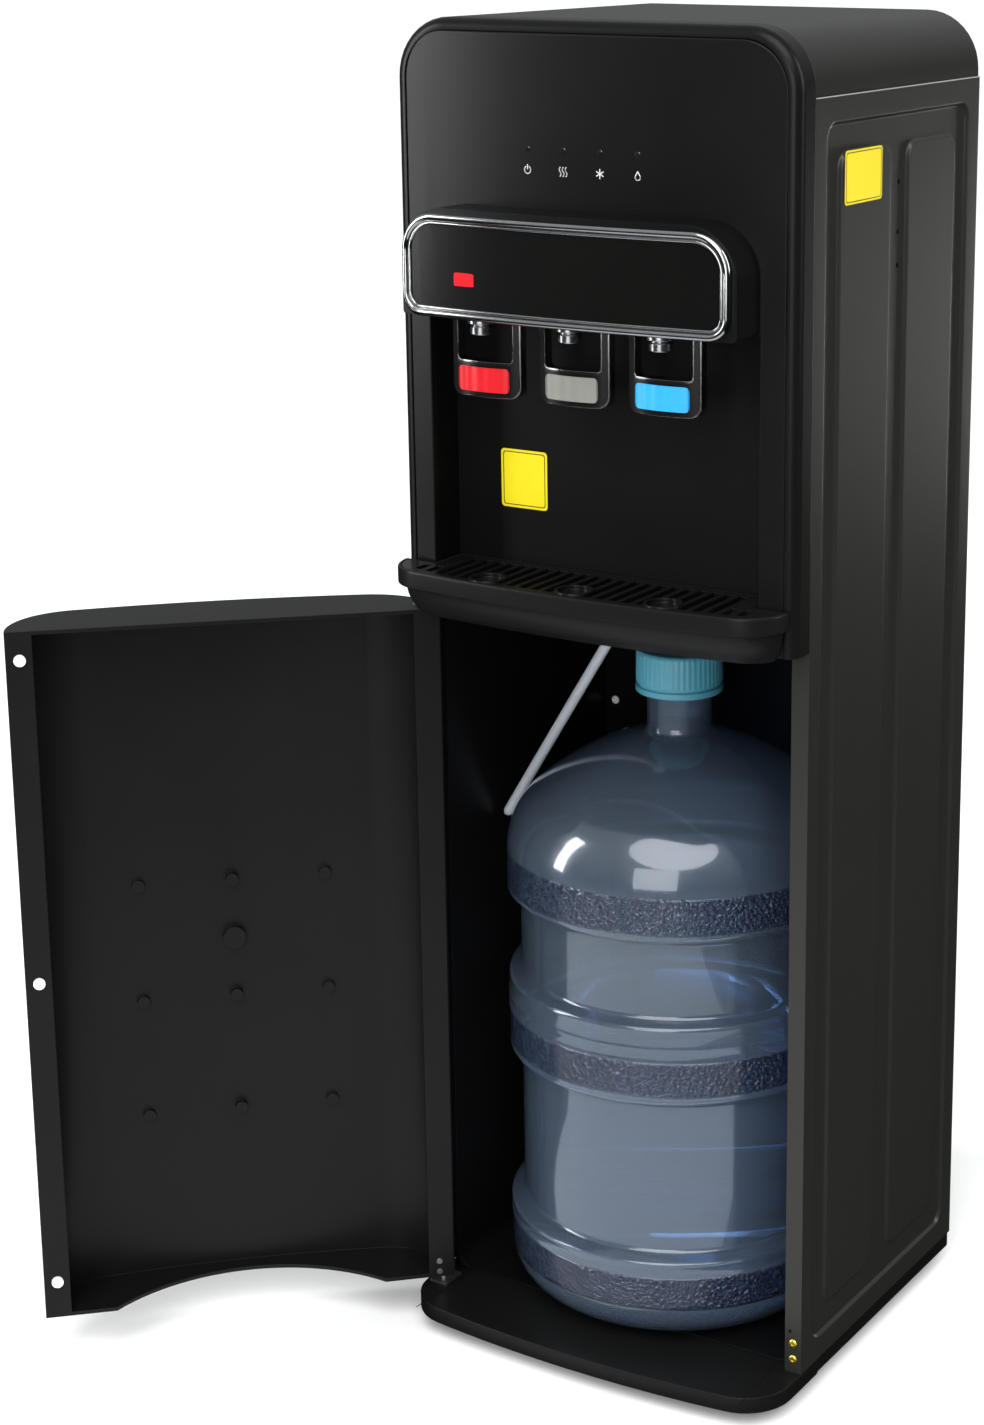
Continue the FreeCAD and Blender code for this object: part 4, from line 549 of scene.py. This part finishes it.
lamp_low, lamp_high = box_mm("indicator_lenses")
lamp_level = (lamp_low.z + lamp_high.z) / 2
lamp_radius = (lamp_high.z - lamp_low.z) / 2
lamp_pitch = (lamp_high.x - lamp_low.x - 2 * lamp_radius) / 3
lamp_places = [lamp_low.x + lamp_radius + lamp_pitch * n for n in range(4)]
LENS_RIM = 0.3   # the lens stands out from the plate by its chamfered rim
mesh = bmesh.new()
for x in lamp_places:
    front = fascia_front + bow(x) - LENS_RIM
    rings = ((lamp_radius, front + 1.998), (lamp_radius, front + LENS_RIM), (lamp_radius - LENS_RIM, front))
    skin(mesh, [[(x + a, y, lamp_level + b) for a, b in circle(radius, 24)] for radius, y in rings], first=False)
lamps = new_piece("indicator_lens_dots", mesh, lens, "cabinet")
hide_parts("indicator_lenses")

# Pad-printed ink: a flat light grey film on the plate, a little worn at the edges of each mark.
print_ink = moulded("ink_light_grey_printed", "#b9b9b6", "#cfcfcc", 0.6, 0.8, 0.004)

MARK_LEVEL, MARK_SIZE = 935.5, 6.2
INK_LIFT = 0.25


def stroke(mesh, points, width):
    """A flat printed line on the bowed fascia through (x, z) points."""
    for (ax, az), (bx, bz) in zip(points, points[1:]):
        run = Vector((bx - ax, bz - az)).normalized() * width / 2
        side = Vector((-run.y, run.x))
        ends = [(ax - run.x + side.x, az - run.y + side.y), (ax - run.x - side.x, az - run.y - side.y),
                (bx + run.x - side.x, bz + run.y - side.y), (bx + run.x + side.x, bz + run.y + side.y)]
        mesh.faces.new([mesh.verts.new((x, fascia_front + bow(x) - INK_LIFT, z)) for x, z in ends])


def ring_points(x, z, radius, start, sweep):
    """An open ring from the start angle over the sweep, in degrees."""
    angles = [math.radians(start + sweep * n / 16) for n in range(17)]
    return [(x + radius * math.cos(a), z + radius * math.sin(a)) for a in angles]


# One plain sign under each lamp: a switch ring, three waves of heat, a frost star and a drop.
mesh = bmesh.new()
size, pen = MARK_SIZE / 2, 0.75
power_x, hot_x, cold_x, empty_x = lamp_places
stroke(mesh, ring_points(power_x, MARK_LEVEL, size * 0.85, 125, 290), pen)
stroke(mesh, [(power_x, MARK_LEVEL + size * 0.2), (power_x, MARK_LEVEL + size * 1.15)], pen)
for shift in (-size * 0.8, 0, size * 0.8):
    wave = [(hot_x + shift + size * 0.22 * math.sin(n * math.tau / 8), MARK_LEVEL - size + n * size / 4)
            for n in range(9)]
    stroke(mesh, wave, pen)
for n in range(3):
    angle = math.pi * n / 3 + math.pi / 6
    arm = Vector((math.cos(angle), math.sin(angle))) * size
    stroke(mesh, [(cold_x - arm.x, MARK_LEVEL - arm.y), (cold_x + arm.x, MARK_LEVEL + arm.y)], pen)
drop = ring_points(empty_x, MARK_LEVEL - size * 0.3, size * 0.66, 150, 240)
stroke(mesh, drop + [(empty_x, MARK_LEVEL + size), drop[0]], pen)
new_piece("indicator_signs", mesh, print_ink, "cabinet")

# Glass fibre circuit board: green solder mask with the weave showing faintly through it.
board = moulded("glass_fibre_board_green", "#0f3d22", "#14502c", 0.35, 0.9, 0.01)
dress(board, "indicator_board")


# -------------------- cup niche
# The niche is a separate moulding behind the fascia, in a finer, duller black so that splashes
# don't show. A bare yellow film label with a plain border line is stuck on its back wall.

# Black high impact polystyrene, moulded: very dark and even, with a low broad shine.
niche_ps = moulded("polystyrene_black_niche", "#080808", "#0b0b0b", 0.45, 1.2, 0.012, Specular_IOR_Level=0.1)
dress(niche_ps, "niche_liner")

# Vinyl label film: strong yellow with a slight gloss and a faint unevenness from its adhesive.
label_yellow = moulded("vinyl_film_yellow", "#cdbc04", "#d6c60a", 0.4, 6, 0.01, edge=0.2, Specular_IOR_Level=0.2)
label_ink = moulded("vinyl_film_black_line", "#16150f", "#1e1c12", 0.4, 2, 0.004, edge=0.2)

FILM_CORNER, FILM_LIFT = 3, 0.25
LINE_WIDTH, LINE_LIFT = 0.7, 0.32


def film(name, outline, line, facing):
    """A thin label: a sheet of film with a printed border line, laid on a wall by facing()."""
    left, bottom, right, top = outline
    sheet = trace(round_box(left, bottom, right, top, FILM_CORNER))
    mesh = bmesh.new()
    skin(mesh, [[facing(a, b, lift) for a, b in sheet] for lift in (0, FILM_LIFT)], first=False)
    new_piece(name, mesh, label_yellow, "cabinet")
    mesh = bmesh.new()
    loops = [trace(round_box(left + inset, bottom + inset, right - inset, top - inset, FILM_CORNER - inset * 0.4))
             for inset in (line, line + LINE_WIDTH)]
    skin(mesh, [[facing(a, b, LINE_LIFT) for a, b in loop] for loop in loops], first=False, last=False)
    new_piece(f"{name}_border", mesh, label_ink, "cabinet")


NICHE_BACK = -95                          # the face of the niche's back wall
NICHE_LABEL = (-100, 677, -59, 721.6)     # left, bottom, right and top
film("niche_label", NICHE_LABEL, 1.8, lambda a, b, lift: (a, NICHE_BACK - lift, b))


# -------------------- tap hood, plate and chrome band
# The hood is a hollow moulding over the taps. Its bowed front plate is framed by a chromed band, and
# a small sprung lock button for the hot tap stands in it.

# ABS with a hard gloss from a polished die: a deep black that mirrors the room softly.
gloss_abs = moulded("abs_black_gloss_plate", "#0a0a0a", "#0d0d0c", 0.2, 2.5, 0.006, Specular_IOR_Level=0.16)
dress(front_abs, "tap_hood")

low, high = box_mm("chrome_bezel")
BAND = 8   # width of the band all round
BAND_TOP_CORNER, BAND_LOW_CORNER = 28, 16


def band_outline(inset):
    """The band's outer outline drawn in all round."""
    return trace(round_box(low.x + inset, low.z + inset, high.x - inset, high.z - inset,
                           BAND_LOW_CORNER - inset, BAND_TOP_CORNER - inset))


# Chromed ABS: bright, almost mirror smooth, with the slight ripple of plating on plastic.
chrome, tree, shader, place = new_finish("chrome_plated_abs", "#a9aaac", 0.12, Metallic=1.0)
ripple = mottle(tree, shader, place, "#9fa0a2", "#b4b5b6", 14, Detail=1)
emboss(tree, shader, ripple, 0.04, 0.5)

# The band's section: a broad outer roll, a fine groove and a thin inner lip down to the plate.
ROLL = 5.2
section = [(0, 12)]
for n in range(9):
    angle = math.radians(180 * n / 8)
    section.append((ROLL / 2 * (1 - math.cos(angle)), ROLL / 2 * (1 - math.sin(angle))))
section += [(ROLL + 0.25, 2.9), (ROLL + 0.6, 2.2), (ROLL + 1.4, 1.7),
            (BAND - 0.6, 2.0), (BAND, 2.8), (BAND, 6)]
mesh = bmesh.new()
skin(mesh, [in_front(band_outline(inset), low.y + back) for inset, back in section], first=False, last=False)
bend_front(mesh, low.y + 20)
band = new_piece("chrome_band", mesh, chrome, "cabinet", sharp=60)
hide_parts("chrome_bezel")

HOOD_PLATE, TUCK = 2.5, 0.5   # the plate's thickness, and how far it reaches in under the band
plate_front = box_mm("hood_plate")[0].y
mesh = bmesh.new()
skin(mesh, [in_front(band_outline(BAND - TUCK), plate_front + back) for back in (0, HOOD_PLATE)])
bend_front(mesh, plate_front + 2 * HOOD_PLATE)
hood_face = new_piece("hood_face", mesh, gloss_abs, "cabinet")
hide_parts("hood_plate")


def coloured(name, colour, lighter, ribs=0):
    """Coloured ABS with a gloss; a push pad has fine upright ribs, given by their pitch in mm."""
    material, tree, shader, place = new_finish(name, colour, 0.3, Specular_IOR_Level=0.25)
    mottle(tree, shader, place, colour, lighter, 30)
    if ribs:
        wave = add_node(tree, "TexWave", {"Vector": place, "Scale": 1000 / ribs / 20}, bands_direction="X")
        emboss(tree, shader, wave.outputs["Fac"], 0.4, 0.5)
    else:
        emboss(tree, shader, clouds(tree, place, 1.5), 0.01, 0.5)
    return material


# Red ABS, gloss moulded: a clear signal red for hot.
button_red = coloured("abs_red_gloss", "#b50c16", "#c2141e")
low, high = box_mm("lock_button")
BUTTON_HALF, BUTTON_TALL, BUTTON_LEVEL, BUTTON_CORNER = 9.75, 4.85, 858.5, 1.2
button_x = (low.x + high.x) / 2
mesh = bmesh.new()
outline = trace(round_box(button_x - BUTTON_HALF, BUTTON_LEVEL - BUTTON_TALL, button_x + BUTTON_HALF,
                          BUTTON_LEVEL + BUTTON_TALL, BUTTON_CORNER))
skin(mesh, [in_front(outline, y) for y in (low.y, high.y - 0.1)])
button = new_piece("lock_button_cap", mesh, button_red, "lock_button_body", edge=0.6)
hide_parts("lock_button")


# -------------------- taps, nozzles and paddles
# Three taps hang under the hood. Each has a chromed outlet and a U-shaped push paddle whose bowed pad
# carries a coloured insert: red for hot, grey for room, blue for cold.

dress(satin_abs, "tap_hot", "tap_room", "tap_cold")

# Chromed brass, turned: darker than the band, with crisp steps that catch thin rings of light.
dark_chrome = moulded("chrome_plated_brass_turned", "#a3a4a6", "#b2b3b5", 0.24, 1.0, 0.003, edge=0.3,
                      Metallic=1.0)


def lathe(mesh, profile, steps=96, centre=(0, 0)):
    """Turns a profile of (radius, height) points about an upright axis."""
    skin(mesh, [[(centre[0] + a, centre[1] + b, z) for a, b in circle(radius, steps)] for radius, z in profile])


# The outlet's steps from the bore up, as shares of its radius and height.
OUTLET_STEPS = ((0.55, 0.25), (0.55, 0), (0.78, 0), (0.82, 0.04), (0.82, 0.38), (0.78, 0.42),
                (0.7, 0.45), (0.7, 0.52), (0.96, 0.55), (1, 0.59), (1, 0.96), (0.97, 1))
for tap in ("hot", "room", "cold"):
    low, high = box_mm(f"nozzle_{tap}")
    radius, tall = (high.x - low.x) / 2, high.z - low.z
    mesh = bmesh.new()
    lathe(mesh, [(radius * r, low.z + tall * z) for r, z in OUTLET_STEPS], 40,
          ((low.x + high.x) / 2, (low.y + high.y) / 2))
    outlet = new_piece(f"outlet_{tap}", mesh, dark_chrome, "cabinet")
    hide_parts(f"nozzle_{tap}")

# Nylon, gloss moulded: black and smooth, laid in a chromed frame whose thin bright edge shows.
paddle_nylon = moulded("nylon_black_gloss", "#0c0c0c", "#101010", 0.2, 1.8, 0.006, edge=0.5,
                       Specular_IOR_Level=0.25)
INSERTS = {
    "hot": ("red", coloured("abs_red_ribbed", "#a80a14", "#b5121c", ribs=1.6)),
    "room": ("grey", coloured("abs_grey_ribbed", "#686864", "#73736e", ribs=1.6)),
    "cold": ("blue", coloured("abs_blue_ribbed", "#1f86c8", "#2b92d2", ribs=1.6)),
}
PADDLE_BOW, PADDLE_BAR, PADDLE_CORNER, PADDLE_INNER_CORNER = 80, 6, 8, 3
PAD_OVER_INSERT = 4   # the pad's upper edge stands this far over the insert
ARMS_BELOW_PIN = 2    # the drawn arms end this far under the CAD paddle's top
INSERT_CORNER = 3.5

for tap, (slot_name, insert_colour) in INSERTS.items():
    low, high = box_mm(f"paddle_{tap}")
    insert_low, insert_high = box_mm(f"insert_{tap}")
    middle = (low.x + high.x) / 2
    half = (high.x - low.x) / 2
    pad_top = insert_high.z + PAD_OVER_INSERT
    arm = half - PADDLE_BAR
    for rim, front, back, part, finish, slot in ((0, 0.5, high.y - low.y, "frame", chrome, "chrome"),
                                                 (1, 0, 3, "face", paddle_nylon, "plastic_black")):
        left, right = middle - half + rim, middle + half - rim
        bottom, top = low.z + rim, high.z - ARMS_BELOW_PIN - rim
        inner_left, inner_right, sill = middle - arm - rim, middle + arm + rim, pad_top - rim
        inner = PADDLE_INNER_CORNER
        outline = trace([
            (left, top), (left, bottom + PADDLE_CORNER), (left + PADDLE_CORNER, bottom, PADDLE_CORNER),
            (right - PADDLE_CORNER, bottom), (right, bottom + PADDLE_CORNER, PADDLE_CORNER), (right, top),
            (inner_right, top), (inner_right, sill + inner), (inner_right - inner, sill, -inner),
            (inner_left + inner, sill), (inner_left, sill + inner, -inner), (inner_left, top),
        ])
        mesh = bmesh.new()
        skin(mesh, [in_front(outline, low.y + y) for y in (front, back)])
        bend_front(mesh, low.y + 5, 3, PADDLE_BOW, middle)
        paddle = new_piece(f"push_paddle_{tap}_{part}", mesh, finish, f"paddle_{tap}_body", edge=0.6)
        if part == "frame":
            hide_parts(f"paddle_{tap}")

    mesh = bmesh.new()
    outline = trace(round_box(insert_low.x, insert_low.z, insert_high.x, insert_high.z, INSERT_CORNER))
    skin(mesh, [in_front(outline, y) for y in (insert_low.y - 0.4, insert_low.y + 2.5)])
    bend_front(mesh, insert_low.y + 1, 3, PADDLE_BOW, middle)
    insert = new_piece(f"paddle_insert_{tap}", mesh, insert_colour, f"paddle_{tap}_body", edge=0.8)
    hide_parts(f"insert_{tap}")


# -------------------- shelf apron, drip tray and grille
# A lofted apron under the niche carries the lift-out drip tray. The slotted grille lies in the tray's
# rim, with a raised ring under each tap.

low, high = box_mm("shelf_apron")
APRON_HALF, APRON_FRONT, APRON_LOW_FRONT, APRON_CORNER, APRON_DRAW = 160, 168, 153, 34, 4
SHELF_BACK = -129.5   # where the shelf meets the fascia's plate
loops = []
for n in range(9):
    share = n / 8
    swell = math.sin(share * math.pi / 2) ** 0.8
    drawn_in = APRON_DRAW * (1 - swell)
    reach = APRON_LOW_FRONT + (APRON_FRONT - APRON_LOW_FRONT) * swell
    plan = trace(bowed_plan(APRON_HALF - drawn_in, reach, SHELF_BACK, APRON_CORNER - drawn_in))
    loops.append(in_plan(plan, low.z + (high.z - low.z) * share))
mesh = bmesh.new()
skin(mesh, loops)
apron = new_piece("shelf_apron_moulding", mesh, satin_abs, "cabinet")
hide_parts("shelf_apron")

TRAY_HALF, TRAY_FRONT, TRAY_CORNER, TAIL_HALF = 165, 173, 35, 138
BASIN_HALF, BASIN_FRONT, BASIN_CORNER = 137, 159, 22
RIM_BOTTOM = 622
SHELF_GAP = 0.6   # between the tray's tail and the fascia's plate
low, high = box_mm("drip_tray")


def tray_plan(inset):
    """The tray's plan drawn in all round: a bowed shelf in front and a tail inside the niche."""
    back = SHELF_BACK - SHELF_GAP - inset
    tail_half, tail_end = TAIL_HALF - inset, high.y - inset
    points = bowed_plan(TRAY_HALF - inset, TRAY_FRONT - inset, back, TRAY_CORNER - inset)
    points += [(tail_half, back), (tail_half, tail_end), (-tail_half, tail_end), (-tail_half, back)]
    return trace(points)


mesh = bmesh.new()
rim = [(1.2, RIM_BOTTOM), (0.2, RIM_BOTTOM + 0.5), (0, RIM_BOTTOM + 1.6), (0, high.z - 2.2),
       (0.5, high.z - 0.7), (1.5, high.z), (2.4, high.z - 0.3), (3, high.z - 1), (3, high.z - 4),
       (6, high.z - 4), (6, RIM_BOTTOM + 3)]
skin(mesh, [in_plan(tray_plan(inset), z) for inset, z in rim])
basin = [trace(bowed_plan(BASIN_HALF - inset, BASIN_FRONT - inset, high.y - inset, BASIN_CORNER - inset))
         for inset in (3, 0)]
skin(mesh, [in_plan(basin[0], low.z), in_plan(basin[1], low.z + 3), in_plan(basin[1], RIM_BOTTOM)])
tray = new_piece("drip_tray_moulding", mesh, satin_abs, "drip_tray_body")
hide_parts("drip_tray")

# ABS like the tray, a touch glossier from being wiped: the bar tops catch thin lines of light.
grille_abs = moulded("abs_black_grille", "#0c0c0c", "#101010", 0.28, 1.2, 0.01, edge=0.9, Specular_IOR_Level=0.25)
dress(grille_abs, "grille")


# -------------------- door
# The door is a single deep moulding, bowed outside and open behind, hung on two pins at the left. It
# has nine screw bosses and a wider one inside, and three white bumpers on its free edge.

dress(satin_abs, "door_shell")

# White thermoplastic rubber: soft, matt and slightly domed.
bumper_white = moulded("rubber_white_soft", "#e2e2df", "#ececea", 0.55, 1.0, 0.01, edge=0.8)
dress(bumper_white, "door_bumpers")

# Zinc plated steel: pale grey with a soft brushed shine.
screw_steel = moulded("steel_zinc_plated", "#8f9194", "#a6a8ab", 0.35, 0.8, 0.01, edge=0.3, Metallic=1.0)
dress(screw_steel, "door_screws")

# Hot dip galvanised steel: pale grey crystals about 9 mm across, each with its own tone.
zinc, tree, shader, place = new_finish("steel_galvanised_sheet", "#8d9194", 0.42, Metallic=1.0)
spangle = add_node(tree, "TexVoronoi", {"Vector": place, "Scale": 1000 / 9}).outputs["Color"]
two_tones(tree, shader, spangle, "#7e8386", "#a4a8ab")
dress(zinc, "hinge_lower", "hinge_upper", "deck", "tank_shelf")


# -------------------- bottle compartment
# A vacuum formed tub of black polystyrene lines the lower cabinet, with a bead round its mouth that
# closes the gap to the side panels.

# Black polystyrene as it comes from the mould: even and dark, with a soft shine in the corners.
liner_ps = moulded("polystyrene_black_liner", "#090909", "#0d0d0e", 0.34, 2.5, 0.02, Specular_IOR_Level=0.16)
dress(liner_ps, "compartment_liner")


# -------------------- bottle, water, cap and dip tube
# The 19 litre bottle is blown from blue-tinted polycarbonate, with three wide textured bands and a
# domed shoulder. A ribbed teal cap closes it, and the clear dip tube hangs beside it.

low, high = box_mm("bottle")
BODY, WAIST, NECK = 137, 126.5, 25.5   # radii
RIDGE = 0.9                            # how far a ridge stands out from the body
SHOULDER_FOOT, SHOULDER_TOP = 397, 498
WALL, WATER_INSET = 1.2, 2
floor = low.z


def ridge(z):
    """One fine ridge round the body at a height."""
    return [(BODY - RIDGE, z - 2.6), (BODY - 0.1, z - 1.2), (BODY - 0.1, z + 1.2), (BODY - RIDGE, z + 2.6)]


outside = trace([(2, floor + 9), (84, floor + 9), (104, floor), (BODY - 1, floor + 31, 34),
                 (BODY - RIDGE, floor + 36)], closed=False)
outside += ridge(88) + ridge(98)
outside += trace([(WAIST + 3, 104.5), (WAIST, 108, -4), (WAIST, 226), (WAIST + 3, 229.5, -4),
                  (BODY - 2, 232), (BODY - RIDGE, 236, 4)], closed=False)
outside += ridge(267) + ridge(278)
outside += trace([(BODY - RIDGE, 291), (BODY - 2, 295, 4), (WAIST + 3, 298), (WAIST, 302, -4),
                  (WAIST, 357), (WAIST + 3, 361, -4), (BODY - 2, 364), (BODY, 368, 4),
                  (BODY, SHOULDER_FOOT), (112.5, 445, 62), (34, 488.5, 220),
                  (NECK, SHOULDER_TOP, -9.5), (NECK, high.z)], closed=False)


def inside_wall(wall):
    """The profile drawn in by a wall, from the floor to the neck."""
    points = []
    for radius, z in outside:
        rise = wall if z < floor + 31 else -wall if SHOULDER_FOOT < z < SHOULDER_TOP else 0
        points.append((max(radius - wall, 1), z + rise))
    return points


# Polycarbonate, blow moulded, tinted blue: clear enough to show the water, with a soft milkiness and
# pebbled bands 25 mm high where hands grip it.
bottle_pc, tree, shader, place = new_finish("polycarbonate_blue_blown", "#a0b4cb", 0.04, IOR=1.4,
                                            Transmission_Weight=0.93, Coat_Weight=0.7, Coat_Roughness=0.2)
BAND_HEIGHTS = ((0.062, 0.086), (0.240, 0.265), (0.371, 0.397))   # of the pebbled bands, in m
BAND_FADE = 0.002
height = add_node(tree, "SeparateXYZ", {0: place}).outputs["Z"]
bands = None
for low_edge, high_edge in BAND_HEIGHTS:
    above = add_node(tree, "MapRange", {"Value": height, "From Min": low_edge - BAND_FADE,
                                        "From Max": low_edge}).outputs["Result"]
    below = add_node(tree, "MapRange", {"Value": height, "From Min": high_edge, "From Max": high_edge + BAND_FADE,
                                        "To Min": 1.0, "To Max": 0.0}).outputs["Result"]
    inside_band = add_node(tree, "Math", {0: above, 1: below}, operation="MULTIPLY").outputs[0]
    if bands:
        bands = add_node(tree, "Math", {0: bands, 1: inside_band}, operation="ADD").outputs[0]
    else:
        bands = inside_band
pebbles = add_node(tree, "TexVoronoi", {"Vector": place, "Scale": 1000 / 2.8},
                   feature="SMOOTH_F1").outputs["Distance"]
relief = add_node(tree, "Math", {0: pebbles, 1: bands}, operation="MULTIPLY").outputs[0]
emboss(tree, shader, relief, 4)
two_tones(tree, shader, bands, "#a0b4cb", "#6379a0")

mesh = bmesh.new()
lathe(mesh, outside + inside_wall(WALL)[::-1])
bottle = new_piece("water_bottle", mesh, bottle_pc, "bottle_body", sharp=70)
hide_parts("bottle")

# Drinking water seen through the tinted wall: pale blue, with a calm flat top.
water, tree, shader, place = new_finish("water_still", "#97b0cb", 0.03, IOR=1.33, Transmission_Weight=0.92)
emboss(tree, shader, clouds(tree, place, 80), 0.4)
water_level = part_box("bottle_water")[1].z * 1000
filled = [point for point in inside_wall(WATER_INSET) if point[1] < water_level]
filled.append((filled[-1][0], water_level))
mesh = bmesh.new()
lathe(mesh, filled)
still_water = new_piece("water_in_bottle", mesh, water, "bottle_body", sharp=70)
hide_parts("bottle_water")

# Polyethylene cap, tinted teal: translucent, waxy and softly ribbed.
cap_pe = moulded("polyethylene_teal_cap", "#3f8195", "#5297aa", 0.35, 2.0, 0.01,
                 Subsurface_Weight=0.3, Subsurface_Scale=0.01)
low, high = box_mm("bottle_cap")
CAP_RIBS, CAP_RIB_DEPTH = 48, 0.5
collar = low.z + 6
steps = CAP_RIBS * 4
loops = []
for inset, z, ribbed in ((9, low.z, 0), (1.2, low.z, 0), (0, low.z + 1, 0), (0, collar - 1, 0),
                         (1.6, collar, 0), (1.6, collar + 1.4, 0), (0.3, collar + 2.4, 1),
                         (0.6, high.z - 4, 1), (2, high.z - 1.2, 0.4), (4, high.z, 0)):
    loop = []
    for n in range(steps):
        radius = high.x - inset - CAP_RIB_DEPTH * ribbed * (n % 4 in (0, 1))
        loop.append((radius * math.cos(math.tau * n / steps), radius * math.sin(math.tau * n / steps), z))
    loops.append(loop)
mesh = bmesh.new()
skin(mesh, loops)
cap = new_piece("bottle_cap_ribbed", mesh, cap_pe, "bottle_body")
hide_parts("bottle_cap")

# Clear silicone tube, extruded: pale and glassy with bright edges.
tube_clear, tree, shader, place = new_finish("silicone_tube_clear", "#c9ced6", 0.12, IOR=1.2,
                                             Transmission_Weight=0.5)
vary_shine(tree, shader, clouds(tree, place, 12), 0.08, 0.22)
dress(tube_clear, "dip_tube")

# Silicone, moulded: milky and soft.
silicone = moulded("silicone_milky", "#b4b5b0", "#c6c7c2", 0.4, 4, 0.01,
                   Subsurface_Weight=0.2, Subsurface_Scale=0.005)
dress(silicone, "tube_grommet", "hot_hose", "cold_hose", "room_hose", "suction_hose")


# -------------------- tanks, pump and cooling
# Inside the cabinet, on the folded shelf: a bare stainless hot tank, a foam-clad cold tank with its
# chip, heat sink and fan, and the pump that lifts the water from the bottle.

# Stainless steel, drawn and bright: fine lines round the tank from the polishing.
stainless, tree, shader, place = new_finish("steel_stainless_drawn", "#a8a9aa", 0.25, Metallic=1.0)
squeezed = add_node(tree, "Mapping", {"Vector": place, "Scale": (20, 20, 1000 / 1.5)}).outputs["Vector"]
vary_shine(tree, shader, clouds(tree, squeezed, 1000), 0.18, 0.36)
dress(stainless, "hot_tank")

# Expanded polystyrene foam: off-white with the pressed beads about 4 mm across.
foam, tree, shader, place = new_finish("polystyrene_foam_white", "#d6d6d0", 0.8)
beads = add_node(tree, "TexVoronoi", {"Vector": place, "Scale": 1000 / 4}).outputs["Distance"]
tree.links.new(add_node(tree, "Bump", {"Height": beads, "Distance": 0.0006, "Strength": 0.6}).outputs["Normal"],
               shader.inputs["Normal"])
dress(foam, "cold_tank")

# Extruded aluminium, left raw: light, with fine lines along the fins.
aluminium = moulded("aluminium_extruded_raw", "#a9abad", "#bcbec0", 0.38, 0.8, 0.015, edge=0.3, Metallic=1.0)
dress(aluminium, "cooling_module")
dress(satin_abs, "pump", "fan_housing", "fan_rotor")


# -------------------- fittings on the back and screws
# The drain spout and its screw cap, the cable gland, two rocker switches in their frame, and the
# brass-coloured screws of both jambs and of the back. Small marks of the sheet and the base come last.

dress(satin_abs, "drain_spout", "drain_cap", "cord_gland", "switch_frame")
dress(button_red, "rocker_hot")
rocker_grey = coloured("abs_grey_gloss", "#77777a", "#828285")
dress(rocker_grey, "rocker_cold")

# Brass plated steel: yellow-brown, bright enough to catch the room in its domed heads.
brass = moulded("steel_brass_plated", "#c2ae3c", "#d4c25a", 0.32, 0.7, 0.01, edge=0.3, Metallic=1.0)


def pan_head(mesh, x, y, z, radius, rise, way=-1):
    """A domed screw head with a recess, standing out from the plane at y."""
    rings = [(radius, 0), (radius, 0.25 * rise), (radius * 0.86, 0.75 * rise), (radius * 0.6, rise),
             (radius * 0.38, rise), (radius * 0.34, 0.35 * rise)]
    skin(mesh, [[(x + a, y + way * out, z + b) for a, b in circle(r, 24)] for r, out in rings], first=False)


SCREW_X = 160.4
JAMB_SCREW_LEVELS, BACK_SCREW_LEVELS = (38.1, 51.3), (38.2, 507.6, 977)
jamb_face, rear_face = box_mm("side_panel_right")[0].y, box_mm("rear_panel")[1].y
mesh = bmesh.new()
for x in (-SCREW_X, SCREW_X):
    for level in JAMB_SCREW_LEVELS:
        pan_head(mesh, x, jamb_face, level, 3.6, 1.1)
    for level in BACK_SCREW_LEVELS:
        pan_head(mesh, x, rear_face, level, 3, 0.5, 1)
heads = new_piece("brass_screw_heads", mesh, brass, "cabinet")
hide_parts("cabinet_screws")

# A second bare label on the right side, and the white nylon cover of the one screw in the liner's back.
field_face = box_mm("side_panel_right")[1].x - PRESS_DEPTH
SIDE_LABEL = (-57.3, 914, 1, 952)         # front, bottom, rear and top
film("side_label", SIDE_LABEL, 1.4, lambda a, b, lift: (field_face + PRESS_RISE + lift, a, b))
LINER_SCREW = (-146.1, 142, 455.9)
mesh = bmesh.new()
pan_head(mesh, *LINER_SCREW, 3.6, 1.6)
new_piece("liner_screw_cover", mesh, bumper_white, "cabinet")

# Near-black dull discs on the sheet for three small holes in the right side and a pilot hole above the right
# jamb's screws: painted shade that stands for the dark inside of each hole.
hole_shade_finish = moulded("painted_shade_hole_discs", "#050505", "#080808", 0.7, 1.0, 0.004, edge=0.1,
                  Specular_IOR_Level=0.05)
HOLE_Y, HOLE_LEVELS = 33.4, (923, 886.5, 862)
PILOT_X, PILOT_LEVEL = 157.7, 61.5
mesh = bmesh.new()
for level in HOLE_LEVELS:
    skin(mesh, [[(field_face + lift, HOLE_Y + a, level + b) for a, b in circle(r, 20)]
                for r, lift in ((1.9, 0), (1.7, 0.12))], first=False)
pan_head(mesh, PILOT_X, jamb_face, PILOT_LEVEL, 1.4, 0.12)
new_piece("side_holes_painted_shade", mesh, hole_shade_finish, "cabinet")

# Two fine ribs mark off the corners of the base moulding's lip.
RIB = ((141.3, -86), (142, -86), (147.8, -165.6), (147.1, -165.6))
RIB_FOOT, RIB_TOP = 27, 27.3
mesh = bmesh.new()
for side in (-1, 1):
    skin(mesh, [[(side * x, y, z) for x, y in RIB] for z in (RIB_FOOT, RIB_TOP)], first=False)
new_piece("base_lip_ribs", mesh, satin_abs, "cabinet")
